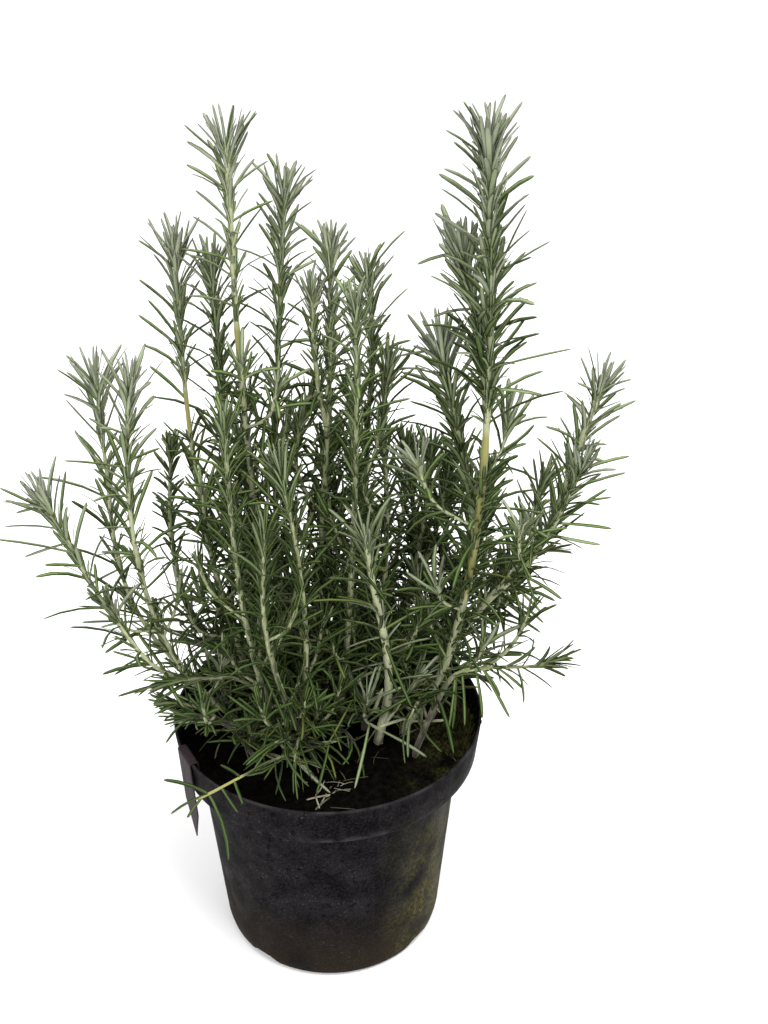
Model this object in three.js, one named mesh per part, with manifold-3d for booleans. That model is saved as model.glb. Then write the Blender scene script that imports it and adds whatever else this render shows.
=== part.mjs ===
// Potted rosemary in a plain black nursery pot, in millimetres, with +Z up.
// The origin is the middle of the pot's flat underside, and the plant is seen from -Y.
import * as THREE from "three";
import { mergeVertices } from "three/addons/utils/BufferGeometryUtils.js";
import Module from "manifold-3d";

const wasm = await Module();
wasm.setup();

// Moulded pot
const POT_HEIGHT = 160;
const RIM_RADIUS = 95;
const COLLAR_HEIGHT = 25;
const COLLAR_FOOT_RADIUS = 92.3;
const RIM_ROUND = 0.8;
const WALL_TOP_RADIUS = 81.6;
const WALL_FOOT_RADIUS = 70.6;
const BASE_RADIUS = 66;
const CORNER_RADIUS = 69.2;
const CORNER_LOW = 2.4;
const CORNER_HEIGHT = 8;
const WALL = 1.5;
const FLOOR = 2.2;
const POT_SIDES = 32;

// Drain notches in the pot's foot, narrower at the top
const DRAIN_COUNT = 4;
const DRAIN_WIDTH = 30;
const DRAIN_TOP_WIDTH = 10;
const DRAIN_HEIGHT = 6.5;
const DRAIN_INNER_RADIUS = 57;
const DRAIN_OUTER_RADIUS = 82;
const FIRST_DRAIN_ANGLE = THREE.MathUtils.degToRad(-127);

// Gap between pieces that touch, and how far a flat face may move when a join is tidied
const CLEARANCE = 0.3;
const JOIN_TOLERANCE = 0.02;

// Soil, with two crossing waves and a mossy rise by the right wall
const SOIL_LEVEL = 139.5;
const SOIL_FLAT_EDGE = 14;
const SOIL_MIDDLE_RADIUS = 50;
const SOIL_WAVE = 1.6;
const WAVE_LENGTH_X = 57;
const WAVE_LENGTH_Y = 70;
const MOSS_RISE = 9;
const MOSS_PLACE = [66, 14];
const MOSS_SPREAD = 20;

// Stems and the holes that they stand in
const STEM_DEPTH = 16;
const STEM_STRAIGHT = 3;
const SHOOT_SHARE = 0.8;
const HOLE_PLAY = 0.9;
const HOLE_SIDES = 6;
const HOLE_REACH = 60;
const STEM_STEP = 36;
const STEM_RADIUS = 2.2;
const TIP_RADIUS = 1.3;
const STEM_POINT = 8;
const STEM_MARK = 8;

// Needles: three-sided, widest past the middle, with a blunt point
const NEEDLE_LENGTH = 25;
const NEEDLE_WIDTH = 2.7;
const NEEDLE_THICKNESS = 1.4;
const NEEDLE_ROOT = 0.4;
const NEEDLE_BEND_AT = 0.68;
const ROOT_OUT = 0.5;
const WHORL_STEP = 20.5;
const FIRST_WHORL = 21;
const SHOOT_BARE = 14;
const TUFT_NEEDLES = 4;
const TUFT_BELOW_POINT = 4;

// How needles stand, in radians from the stem: wide low down, closer over the last stretch to the tip
const LOW_LEAN = 1.05;
const HIGH_LEAN = 0.5;
const TUFT_LEAN = 0.2;
const LEAN_PLAY = 0.25;
const TURN_PLAY = 0.2;
const CURL = 0.12;
const CLOSING_STRETCH = 150;
const NUDGES = [0, 0.3, -0.3, 0.6, -0.6, 0.9, -0.9];
const CHECKED_SHARES = [0.4, 0.7, 1];

// Label hooked over the rim
const LABEL_WIDTH = 17;
const LABEL_THICKNESS = 0.8;
const LABEL_DROP = 60;
const LABEL_POINT = 24;
const LABEL_INNER_DROP = 16;
const LABEL_INSET = 3.4;
const LABEL_ANGLE = THREE.MathUtils.degToRad(-149);

// Each leafy stem: its foot in the soil, the bends of its stem above, and the bends of its side shoots
const LEAFY_STEMS = [
  {
    name: "tall_left",
    foot: [-20, 20],
    stem: [[-37, 28, 195], [-42, 24, 300], [-45, 18, 400], [-44, 10, 503]],
  },
  {
    name: "back_left",
    foot: [-8, 32],
    stem: [[-27, 32, 205], [-30, 32, 280], [-26, 38, 370], [-19, 45, 470]],
  },
  {
    name: "left",
    foot: [-36, 8],
    stem: [[-54, 11, 195], [-68, 14, 265], [-76, 22, 350], [-78, 35, 443]],
  },
  {
    name: "left_inner",
    foot: [-30, 26],
    stem: [[-47, 25, 220], [-56, 24, 313], [-57, 26, 380], [-58, 28, 434]],
  },
  {
    name: "middle",
    foot: [-4, 14],
    stem: [[-7, 10, 205], [1, 8, 315], [6, 7, 400], [7, 5, 455]],
    shoots: [[[2, 8, 345], [-2, 4, 385], [-3, 2, 432]]],
  },
  {
    name: "middle_right",
    foot: [14, 20],
    stem: [[21, 20, 220], [25, 22, 334], [28, 24, 395], [25, 25, 432]],
  },
  {
    name: "centre",
    foot: [6, -6],
    stem: [[14, -12, 235], [19, -18, 330], [20, -21, 385], [20, -22, 432]],
  },
  {
    name: "centre_right",
    foot: [22, 6],
    stem: [[34, 6, 235], [36, 9, 300], [34, 11, 350], [37, 12, 384]],
  },
  {
    name: "front",
    foot: [31, -9],
    radius: 2.6,
    stem: [[37, -13, 180], [36, -18, 215], [28, -26, 268], [24, -30, 300]],
  },
  {
    name: "tall_right",
    foot: [47, -1],
    radius: 2.5,
    stem: [[70, -5, 192], [86, -7, 280], [90, -9, 395], [85, -10, 508]],
    shoots: [
      [[90, -9, 362], [82, -2, 410], [71, 6, 452]],
      [[86, -7, 285], [80, 4, 325], [72, 10, 360], [65, 14, 392]],
      [[89, -8, 318], [96, -6, 336], [102, -4, 358]],
    ],
  },
  {
    name: "right",
    foot: [44, 18],
    stem: [[68, 13, 168], [93, 10, 216], [123, 8, 268], [138, 7, 315], [153, 5, 376]],
    shoots: [[[101, 9, 228], [124, 2, 263], [145, -4, 303], [153, -6, 320]]],
  },
  {
    name: "right_low",
    foot: [54, -20],
    stem: [[66, -17, 176], [78, -14, 196], [100, -12, 199], [128, -13, 201], [146, -14, 211]],
    shoots: [[[92, -12, 198], [103, -9, 204], [114, -7, 218], [120, -6, 236]]],
  },
  {
    name: "right_back",
    foot: [36, 38],
    stem: [[70, 44, 165], [102, 50, 210], [124, 57, 258], [133, 60, 289]],
  },
  {
    name: "back_right",
    foot: [20, 42],
    stem: [[44, 47, 185], [54, 50, 240], [52, 52, 280], [47, 55, 315]],
    shoots: [[[53, 50, 230], [60, 44, 275], [62, 40, 320]]],
  },
  {
    name: "left_fork",
    foot: [-34, -10],
    radius: 2.4,
    stem: [[-62, -11, 165], [-87, -11, 200], [-101, -13, 243], [-106, -17, 312], [-99, -20, 385]],
    shoots: [
      [[-78, -11, 186], [-106, -1, 218], [-120, 4, 258], [-122, 7, 325], [-123, 10, 376]],
      [[-76, -11, 184], [-100, -29, 214], [-122, -32, 256], [-138, -34, 300], [-148, -35, 326]],
    ],
  },
  {
    name: "left_front",
    foot: [-22, -16],
    stem: [[-36, -30, 195], [-44, -34, 250], [-48, -31, 300], [-50, -25, 368]],
  },
  {
    name: "front_left",
    foot: [-8, -28],
    stem: [[-22, -42, 195], [-32, -43, 250], [-30, -40, 308]],
    shoots: [[[-14, -36, 172], [-10, -33, 230], [-13, -33, 290], [-21, -30, 342]]],
  },
  {
    name: "back_far_left",
    foot: [-44, 34],
    stem: [[-66, 42, 165], [-90, 50, 202], [-98, 56, 252], [-94, 60, 313]],
  },
  {
    name: "front_low",
    foot: [-6, -44],
    radius: 1.7,
    stem: [[-20, -60, 172], [-40, -76, 174], [-61, -81, 164], [-72, -82, 158]],
  },
  {
    name: "left_low",
    foot: [-40, -34],
    radius: 1.7,
    stem: [[-56, -36, 172], [-76, -38, 190], [-92, -42, 196]],
  },
  {
    name: "back_low_left",
    foot: [-26, 50],
    stem: [[-40, 64, 180], [-52, 84, 250], [-58, 96, 303]],
  },
  {
    name: "back_low_middle",
    foot: [-2, 56],
    stem: [[-4, 76, 190], [-2, 98, 260], [2, 112, 298]],
  },
  {
    name: "back_low_right",
    foot: [24, 58],
    stem: [[36, 76, 180], [46, 92, 240], [52, 102, 288]],
  },
  {
    name: "back_right_low",
    foot: [46, 52],
    stem: [[68, 62, 170], [90, 74, 222], [98, 84, 260]],
  },
];

// A three.js geometry as a closed solid, with shared corners merged and empty triangles dropped
function solidOf(geometry) {
  const bare = geometry.clone();
  bare.deleteAttribute("normal");
  bare.deleteAttribute("uv");
  const merged = mergeVertices(bare, 1e-4);
  const corners = merged.index.array;
  const triVerts = [];
  for (let i = 0; i < corners.length; i += 3) {
    const [a, b, c] = [corners[i], corners[i + 1], corners[i + 2]];
    if (a !== b && b !== c && c !== a) triVerts.push(a, b, c);
  }
  const vertProperties = new Float32Array(merged.attributes.position.array);
  const mesh = new wasm.Mesh({ numProp: 3, vertProperties, triVerts: new Uint32Array(triVerts) });
  return new wasm.Manifold(mesh);
}

function geometryOf(solid) {
  const { vertProperties, triVerts } = solid.getMesh();
  const geometry = new THREE.BufferGeometry();
  geometry.setAttribute("position", new THREE.BufferAttribute(new Float32Array(vertProperties), 3));
  geometry.setIndex(new THREE.BufferAttribute(new Uint32Array(triVerts), 1));
  geometry.computeVertexNormals();
  return geometry;
}

// A profile of [radius, height] turned about +Z
function turned(profile, sides) {
  const points = profile.map(([radius, height]) => new THREE.Vector2(radius, height));
  return new THREE.LatheGeometry(points, sides).rotateX(Math.PI / 2);
}

function makePot() {
  const top = POT_HEIGHT;
  const ledge = POT_HEIGHT - COLLAR_HEIGHT;
  const inner = RIM_RADIUS - WALL;
  const profile = [
    [0, 0],
    [BASE_RADIUS, 0],
    [CORNER_RADIUS, CORNER_LOW],
    [WALL_FOOT_RADIUS, CORNER_HEIGHT],
    [WALL_TOP_RADIUS, ledge],
    [COLLAR_FOOT_RADIUS, ledge],
    [RIM_RADIUS, top - RIM_ROUND],
    [RIM_RADIUS - RIM_ROUND, top],
    [inner, top],
    [COLLAR_FOOT_RADIUS - WALL, ledge + WALL],
    [WALL_TOP_RADIUS - WALL, ledge + WALL],
    [WALL_FOOT_RADIUS - WALL, CORNER_HEIGHT + WALL / 2],
    [CORNER_RADIUS - WALL, CORNER_LOW + WALL],
    [BASE_RADIUS - WALL / 2, FLOOR],
    [0, FLOOR],
  ];
  return geometryOf(withoutDrains(solidOf(turned(profile, POT_SIDES)), 0));
}

// Cuts the drain notches, each grown by a margin, out of a solid
function withoutDrains(solid, margin) {
  const foot = DRAIN_WIDTH / 2 + margin;
  const half = DRAIN_TOP_WIDTH / 2 + margin;
  const top = DRAIN_HEIGHT + margin;
  const face = new THREE.Shape();
  face.moveTo(foot, -margin - FLOOR);
  face.lineTo(foot, 0);
  face.lineTo(half, top);
  face.lineTo(-half, top);
  face.lineTo(-foot, 0);
  face.lineTo(-foot, -margin - FLOOR);
  const depth = DRAIN_OUTER_RADIUS - DRAIN_INNER_RADIUS + margin;
  let cut = solid;
  for (let i = 0; i < DRAIN_COUNT; i += 1) {
    const drain = new THREE.ExtrudeGeometry(face, { depth, bevelEnabled: false });
    drain.rotateX(Math.PI / 2).translate(0, -DRAIN_INNER_RADIUS + margin, 0);
    drain.rotateZ(Math.PI / 2 + FIRST_DRAIN_ANGLE + (i / DRAIN_COUNT) * 2 * Math.PI);
    cut = cut.subtract(solidOf(drain));
  }
  return cut;
}

// Height of the soil's surface
function soilTop(x, y) {
  const [u, v] = [(2 * Math.PI * x) / WAVE_LENGTH_X, (2 * Math.PI * y) / WAVE_LENGTH_Y];
  const waves = Math.sin(u + 1) * Math.cos(v) + 0.6 * Math.sin(2 * v - u / 2);
  const [mossX, mossY] = MOSS_PLACE;
  const away = ((x - mossX) ** 2 + (y - mossY) ** 2) / MOSS_SPREAD ** 2;
  return SOIL_LEVEL + SOIL_WAVE * waves + MOSS_RISE * Math.exp(-away);
}

function stemRadius(leafyStem) {
  return leafyStem.radius ?? STEM_RADIUS;
}

function makeSoil() {
  const ledge = POT_HEIGHT - COLLAR_HEIGHT + WALL;
  const collar = COLLAR_FOOT_RADIUS - WALL - CLEARANCE;
  const profile = [
    [0, FLOOR + CLEARANCE],
    [BASE_RADIUS - WALL, FLOOR + CLEARANCE],
    [CORNER_RADIUS - WALL - 2 * CLEARANCE, CORNER_LOW + WALL + CLEARANCE],
    [WALL_FOOT_RADIUS - WALL - CLEARANCE, CORNER_HEIGHT + WALL],
    [WALL_TOP_RADIUS - WALL - CLEARANCE, ledge + CLEARANCE],
    [collar, ledge + CLEARANCE],
    [collar, SOIL_LEVEL],
    [collar - SOIL_FLAT_EDGE, SOIL_LEVEL],
    [SOIL_MIDDLE_RADIUS, SOIL_LEVEL],
    [0, SOIL_LEVEL],
  ];
  const geometry = turned(profile, POT_SIDES);
  const corner = geometry.attributes.position;
  for (let i = 0; i < corner.count; i += 1) {
    const [x, y, z] = [corner.getX(i), corner.getY(i), corner.getZ(i)];
    if (Math.abs(z - SOIL_LEVEL) < CLEARANCE) corner.setZ(i, soilTop(x, y));
  }
  let soil = withoutDrains(solidOf(geometry), CLEARANCE);
  for (const leafyStem of LEAFY_STEMS) {
    const [x, y] = leafyStem.foot;
    const radius = stemRadius(leafyStem) + HOLE_PLAY;
    const low = soilTop(x, y) + STEM_STRAIGHT - STEM_DEPTH - radius - CLEARANCE;
    const hole = new THREE.CylinderGeometry(radius, radius, HOLE_REACH, HOLE_SIDES).rotateX(Math.PI / 2);
    hole.translate(x, y, low + HOLE_REACH / 2);
    soil = soil.subtract(solidOf(hole));
  }
  return geometryOf(soil);
}

// A strip bent over the rim: outer leg with a pointed end, bridge, and short inner leg
function makeLabel() {
  const outer = RIM_RADIUS + CLEARANCE + LABEL_THICKNESS;
  const inner = RIM_RADIUS - WALL - LABEL_INSET;
  const top = POT_HEIGHT + CLEARANCE;
  const hook = new THREE.Shape();
  hook.moveTo(outer, top - LABEL_DROP);
  hook.lineTo(outer, top + LABEL_THICKNESS);
  hook.lineTo(inner, top + LABEL_THICKNESS);
  hook.lineTo(inner, top - LABEL_INNER_DROP);
  hook.lineTo(inner + LABEL_THICKNESS, top - LABEL_INNER_DROP);
  hook.lineTo(inner + LABEL_THICKNESS, top);
  hook.lineTo(outer - LABEL_THICKNESS, top);
  hook.lineTo(outer - LABEL_THICKNESS, top - LABEL_DROP);
  const strip = new THREE.ExtrudeGeometry(hook, { depth: LABEL_WIDTH, bevelEnabled: false });
  strip.translate(0, 0, -LABEL_WIDTH / 2).rotateX(Math.PI / 2);
  const face = new THREE.Shape();
  const half = LABEL_WIDTH / 2;
  face.moveTo(0, top - LABEL_DROP);
  face.lineTo(half, top - LABEL_DROP + LABEL_POINT);
  face.lineTo(half, top + LABEL_WIDTH);
  face.lineTo(-half, top + LABEL_WIDTH);
  face.lineTo(-half, top - LABEL_DROP + LABEL_POINT);
  const outline = new THREE.ExtrudeGeometry(face, { depth: 2 * RIM_RADIUS, bevelEnabled: false });
  outline.rotateX(Math.PI / 2).rotateZ(Math.PI / 2);
  const label = solidOf(strip).intersect(solidOf(outline));
  return geometryOf(label).rotateZ(LABEL_ANGLE);
}

// A closed rod through rings of corners; a last ring of one corner is a point
function ringedRod(rings) {
  const corners = rings.flat();
  const index = [];
  const sides = rings[0].length;
  for (let k = 1; k < sides - 1; k += 1) index.push(0, k + 1, k);
  for (let i = 0; i + 1 < rings.length; i += 1) {
    const low = i * sides;
    const high = low + sides;
    const pointed = rings[i + 1].length === 1;
    for (let k = 0; k < sides; k += 1) {
      const next = (k + 1) % sides;
      if (pointed) index.push(low + k, low + next, high);
      else index.push(low + k, low + next, high + next, low + k, high + next, high + k);
    }
  }
  const geometry = new THREE.BufferGeometry();
  const values = corners.flatMap((corner) => corner.toArray());
  geometry.setAttribute("position", new THREE.Float32BufferAttribute(values, 3));
  geometry.setIndex(index);
  return geometry;
}

// Direction square to a stem's chord, turned about it from the right-hand side
function sideways(curve, turn) {
  const chord = curve.getPointAt(1).sub(curve.getPointAt(0)).normalize();
  const right = new THREE.Vector3(0, 1, 0).cross(chord).normalize();
  return right.applyAxisAngle(chord, turn);
}

function stemSteps(curve) {
  return Math.max(2, Math.round(curve.getLength() / STEM_STEP));
}

// The middle of the stem's straight stretches, at a distance along it; the last stretch is its point
function stemMiddle(curve, at) {
  const steps = stemSteps(curve);
  const length = curve.getLength();
  const whole = length - STEM_POINT;
  const step = Math.min(steps - 1, Math.floor((at / whole) * steps));
  const low = curve.getPointAt((step * whole) / steps / length);
  const high = curve.getPointAt(((step + 1) * whole) / steps / length);
  return low.lerp(high, (at / whole) * steps - step);
}

// A square stem along a curve, with flat sides, thinner towards its tip and pointed at the end.
// Its foot goes straight down into the soil.
function stemSolid(curve, footRadius, footLength) {
  const steps = stemSteps(curve);
  const length = curve.getLength();
  const corners = [0.25, 0.75, 1.25, 1.75].map((turn) => sideways(curve, turn * Math.PI));
  const rings = [];
  if (footLength > 0) {
    const foot = curve.getPointAt(0).sub(new THREE.Vector3(0, 0, footLength));
    rings.push(corners.map((corner) => foot.clone().addScaledVector(corner, footRadius)));
  }
  for (let i = 0; i <= steps; i += 1) {
    const centre = stemMiddle(curve, (i / steps) * (length - STEM_POINT));
    const radius = THREE.MathUtils.lerp(footRadius, TIP_RADIUS, i / steps);
    rings.push(corners.map((corner) => centre.clone().addScaledVector(corner, radius)));
  }
  rings.push([curve.getPointAt(1)]);
  return solidOf(ringedRod(rings));
}

// A needle from its root in the stem over its bend to its tip, flat side towards the stem's tip
function needleSolid([root, bend, tip], upward) {
  const corners = [];
  const parts = [
    [root, NEEDLE_ROOT],
    [bend, 1],
  ];
  const forward = tip.clone().sub(root).normalize();
  const across = new THREE.Vector3().crossVectors(forward, upward).normalize();
  const above = new THREE.Vector3().crossVectors(across, forward).normalize();
  for (const [centre, share] of parts) {
    const side = across.clone().multiplyScalar((share * NEEDLE_WIDTH) / 2);
    const rise = above.clone().multiplyScalar((share * NEEDLE_THICKNESS) / 2);
    corners.push([
      centre.clone().sub(side).add(rise),
      centre.clone().add(side).add(rise),
      centre.clone().sub(rise),
    ]);
  }
  return solidOf(ringedRod([...corners, [tip]]));
}

// A repeatable source of numbers from 0 to 1
function seeded(seed) {
  let state = seed;
  return () => {
    state = (state + 0x6d2b79f5) | 0;
    let mixed = Math.imul(state ^ (state >>> 15), 1 | state);
    mixed = (mixed + Math.imul(mixed ^ (mixed >>> 7), 61 | mixed)) ^ mixed;
    return ((mixed ^ (mixed >>> 14)) >>> 0) / 4294967296;
  };
}

// Shortest way between two straight pieces
function gapBetween(a, b) {
  const d1 = a.to.clone().sub(a.from);
  const d2 = b.to.clone().sub(b.from);
  const r = a.from.clone().sub(b.from);
  const [aa, ee, ff] = [d1.dot(d1), d2.dot(d2), d2.dot(r)];
  const [bb, cc] = [d1.dot(d2), d1.dot(r)];
  const clamp = THREE.MathUtils.clamp;
  const spread = aa * ee - bb * bb;
  let s = spread > 1e-9 ? clamp((bb * ff - cc * ee) / spread, 0, 1) : 0;
  const t = clamp((bb * s + ff) / ee, 0, 1);
  s = clamp((bb * t - cc) / aa, 0, 1);
  const near = a.from.clone().addScaledVector(d1, s);
  return near.distanceTo(b.from.clone().addScaledVector(d2, t));
}

// Whether a point of a needle is too near the pot, the soil or the label
function meetsPot(point) {
  const radius = Math.hypot(point.x, point.y);
  const margin = NEEDLE_WIDTH / 2 + CLEARANCE;
  const inCollar = radius > COLLAR_FOOT_RADIUS - WALL - margin && radius < RIM_RADIUS + margin;
  if (inCollar && point.z < POT_HEIGHT + margin) return true;
  if (radius < COLLAR_FOOT_RADIUS && point.z < soilTop(point.x, point.y) + margin) return true;
  const aside = Math.abs(Math.atan2(point.y, point.x) - LABEL_ANGLE) * radius;
  const nearLabel = Math.abs(radius - RIM_RADIUS) < LABEL_INSET + WALL + 2 * margin;
  return nearLabel && aside < LABEL_WIDTH / 2 + 2 * margin && point.z < POT_HEIGHT + 2 * margin;
}

// Straight pieces of every stem and needle so far, each with the node that it belongs to
const placed = [];

function isClear(pieces, node) {
  for (const piece of pieces) {
    if (CHECKED_SHARES.some((share) => meetsPot(piece.from.clone().lerp(piece.to, share)))) return false;
    for (const other of placed) {
      if (other.node === node) continue;
      if (gapBetween(piece, other) < piece.radius + other.radius + CLEARANCE) return false;
    }
  }
  return true;
}

function stemCurve(points) {
  return new THREE.CatmullRomCurve3(points.map((p) => new THREE.Vector3(...p)), false, "centripetal");
}

// Where a side shoot leaves its stem: the stem's nearest place to the shoot's first point
function forkOf(main, [x, y, z]) {
  const wanted = new THREE.Vector3(x, y, z);
  let fork = stemMiddle(main, 0);
  for (let at = 0; at < main.getLength() - STEM_POINT; at += 1) {
    const place = stemMiddle(main, at);
    if (place.distanceTo(wanted) < fork.distanceTo(wanted)) fork = place;
  }
  return fork.toArray();
}

// The curves of a leafy stem from just above the soil, and of its side shoots from their forks
function curvesOf(leafyStem) {
  const [x, y] = leafyStem.foot;
  const main = stemCurve([[x, y, soilTop(x, y) + STEM_STRAIGHT], ...leafyStem.stem]);
  const side = (leafyStem.shoots ?? []).map(([first, ...rest]) => stemCurve([forkOf(main, first), ...rest]));
  return [main, ...side];
}

function markStem(curve, footRadius, node) {
  const steps = Math.round(curve.getLength() / STEM_MARK);
  for (let i = 0; i < steps; i += 1) {
    const radius = THREE.MathUtils.lerp(footRadius, TIP_RADIUS, i / steps);
    placed.push({ from: curve.getPointAt(i / steps), to: curve.getPointAt((i + 1) / steps), radius, node });
  }
}

// Root, bend and tip of a needle that leans from the stem and curves outwards
function needleLine(root, along, outward, lean, length) {
  const reach = (angle, share) =>
    along
      .clone()
      .multiplyScalar(Math.cos(angle) * length * share)
      .addScaledVector(outward, Math.sin(angle) * length * share);
  const bend = root.clone().add(reach(lean - CURL, NEEDLE_BEND_AT));
  const tip = bend.clone().add(reach(lean + CURL, 1 - NEEDLE_BEND_AT));
  return [root, bend, tip];
}

// Tries the needle as it grows and then turned a little each way, until it clears the other nodes
function fitNeedle(node, curve, at, turn, lean, length) {
  const along = curve.getTangentAt(at / curve.getLength());
  for (const nudge of NUDGES) {
    const outward = sideways(curve, turn + nudge);
    const root = stemMiddle(curve, at).addScaledVector(outward, ROOT_OUT);
    const line = needleLine(root, along, outward, lean, length);
    const pieces = [
      { from: line[0], to: line[1], radius: NEEDLE_WIDTH / 2, node },
      { from: line[1], to: line[2], radius: NEEDLE_WIDTH / 2, node },
    ];
    if (isClear(pieces, node)) {
      placed.push(...pieces);
      return [needleSolid(line, along)];
    }
  }
  return [];
}

// Opposite pairs of needles on the stem's flat sides, each pair a quarter turn from the last, and a tuft
function needlesAlong(curve, first, node, random) {
  const { lerp, smoothstep } = THREE.MathUtils;
  const needles = [];
  const length = curve.getLength();
  const last = length - STEM_POINT - TUFT_BELOW_POINT;
  let pair = Math.floor(2 * random());
  for (let at = first; at < last; at += WHORL_STEP * lerp(0.9, 1.1, random())) {
    const closing = smoothstep(at, length - CLOSING_STRETCH, length);
    pair += 1;
    for (const half of [0, 1]) {
      const turn = (pair / 2 + half) * Math.PI + TURN_PLAY * (random() - 0.5);
      const lean = lerp(LOW_LEAN, HIGH_LEAN, closing) + LEAN_PLAY * (random() - 0.5);
      const size = NEEDLE_LENGTH * lerp(0.85, 1.15, random()) * lerp(1.05, 0.9, closing);
      needles.push(...fitNeedle(node, curve, at, turn, lean, size));
    }
  }
  for (let i = 0; i < TUFT_NEEDLES; i += 1) {
    const turn = (pair + 1 + i) * (Math.PI / 2);
    const size = NEEDLE_LENGTH * lerp(0.8, 0.9, random());
    const up = (i % 2) * (TUFT_BELOW_POINT / 2);
    needles.push(...fitNeedle(node, curve, last + up, turn, TUFT_LEAN * (1 + i / TUFT_NEEDLES), size));
  }
  return needles;
}

// A leafy stem with its side shoots and needles as one body
function makeLeafyStem(leafyStem, index) {
  const random = seeded(index + 1);
  const radius = stemRadius(leafyStem);
  const solids = [];
  curvesOf(leafyStem).forEach((curve, i) => {
    const isMain = i === 0;
    solids.push(stemSolid(curve, isMain ? radius : radius * SHOOT_SHARE, isMain ? STEM_DEPTH : 0));
    solids.push(...needlesAlong(curve, isMain ? FIRST_WHORL : SHOOT_BARE, leafyStem.name, random));
  });
  const joined = wasm.Manifold.union(solids).asOriginal().simplify(JOIN_TOLERANCE);
  return geometryOf(filled(joined));
}

// Crossing needles can close off a hollow: only the outer skin is kept, so such a hollow is solid
function filled(solid) {
  const skins = solid.decompose();
  return skins.reduce((largest, skin) => (skin.volume() > largest.volume() ? skin : largest));
}

const plant = new THREE.Group();

function add(name, geometry, color, roughness) {
  const material = new THREE.MeshStandardMaterial({ color, roughness, metalness: 0 });
  const mesh = new THREE.Mesh(geometry, material);
  mesh.name = name;
  plant.add(mesh);
}

add("pot", makePot(), 0x24262a, 0.55);
add("soil", makeSoil(), 0x2a211b, 1);
add("plant_label", makeLabel(), 0x4f4148, 0.5);
for (const leafyStem of LEAFY_STEMS) {
  curvesOf(leafyStem).forEach((curve) => markStem(curve, stemRadius(leafyStem), leafyStem.name));
}
LEAFY_STEMS.forEach((leafyStem, index) => {
  add(`leafy_stem_${leafyStem.name}`, makeLeafyStem(leafyStem, index), 0x5f7a52, 0.7);
});

export default plant;
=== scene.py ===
# Potted rosemary in a black nursery pot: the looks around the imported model, in metres, with +Z up.
import math

import bmesh
import bpy
import numpy as np
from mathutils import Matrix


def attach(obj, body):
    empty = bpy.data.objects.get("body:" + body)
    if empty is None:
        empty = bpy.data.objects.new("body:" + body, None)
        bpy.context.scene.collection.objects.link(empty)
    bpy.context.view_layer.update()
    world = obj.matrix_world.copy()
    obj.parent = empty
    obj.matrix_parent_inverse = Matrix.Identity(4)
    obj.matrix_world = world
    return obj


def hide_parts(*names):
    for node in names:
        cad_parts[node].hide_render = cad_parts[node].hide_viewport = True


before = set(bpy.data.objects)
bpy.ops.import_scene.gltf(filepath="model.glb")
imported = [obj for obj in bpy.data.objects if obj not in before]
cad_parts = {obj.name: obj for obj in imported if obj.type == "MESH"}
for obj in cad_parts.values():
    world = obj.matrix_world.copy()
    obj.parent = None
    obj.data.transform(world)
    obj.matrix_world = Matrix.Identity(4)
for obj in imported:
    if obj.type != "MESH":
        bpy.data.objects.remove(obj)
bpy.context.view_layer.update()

# Camera
# It stands in front of the pot, a little above the plant, and looks down at it by about 29 degrees.
# The lens is a normal one, and the whole plant is in its picture.
lens = bpy.data.cameras.new("camera")
lens.lens = 45.7
camera = bpy.data.objects.new("camera", lens)
camera.location = (0.0345, -0.643, 0.662)
camera.rotation_euler = (math.radians(60.56), 0, 0)
bpy.context.scene.collection.objects.link(camera)
bpy.context.scene.camera = camera


# Floor and light
# A plain pale floor under a white studio: an even white surround, a large softbox overhead
# and a smaller one at the front left.
def wire(node, *wires):
    """Feeds a node. A wire is (input, source), where the source is another node's output or a value."""
    for place, source in wires:
        if isinstance(source, bpy.types.NodeSocket):
            node.id_data.links.new(source, node.inputs[place])
        else:
            node.inputs[place].default_value = source


def add_node(tree, kind, *wires, **settings):
    """A shader node with its settings and its wires."""
    made = tree.nodes.new("ShaderNode" + kind)
    for key, value in settings.items():
        setattr(made, key, value)
    wire(made, *wires)
    return made


def new_finish(name):
    """A material with one shader: returns it, the shader and the place on the piece, in metres."""
    finish = bpy.data.materials.new(name)
    finish.use_nodes = True
    tree = finish.node_tree
    tree.nodes.clear()
    shader = add_node(tree, "BsdfPrincipled")
    add_node(tree, "OutputMaterial", ("Surface", shader.outputs[0]))
    return finish, shader, add_node(tree, "TexCoord").outputs["Object"]


def softbox(name, place, aim, size, power):
    """A square area light that looks from its place at its aim."""
    light = bpy.data.lights.new(name, "AREA")
    light.shape = "SQUARE"
    light.size = size
    light.energy = power
    lamp = bpy.data.objects.new(name, light)
    lamp.location = place
    towards = np.subtract(aim, place)
    lamp.rotation_euler = (
        math.atan2(math.hypot(towards[0], towards[1]), -towards[2]),
        0,
        math.atan2(towards[1], towards[0]) - math.pi / 2,
    )
    bpy.context.scene.collection.objects.link(lamp)


FLOOR_HALF = 8.0
FLOOR_PALE = (0.95, 0.95, 0.95, 1)
SKY_STRENGTH = 1.06
floor_mesh = bpy.data.meshes.new("floor")
floor_corners = FLOOR_HALF * np.array([[-1, -1, 0], [1, -1, 0], [1, 1, 0], [-1, 1, 0]])
floor_mesh.from_pydata(floor_corners.tolist(), [], [(0, 1, 2, 3)])
floor = bpy.data.objects.new("floor", floor_mesh)
bpy.context.scene.collection.objects.link(floor)
floor_finish, floor_shader, _ = new_finish("pale_floor")
wire(floor_shader, ("Base Color", FLOOR_PALE), ("Roughness", 0.9))
floor_mesh.materials.append(floor_finish)

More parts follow.
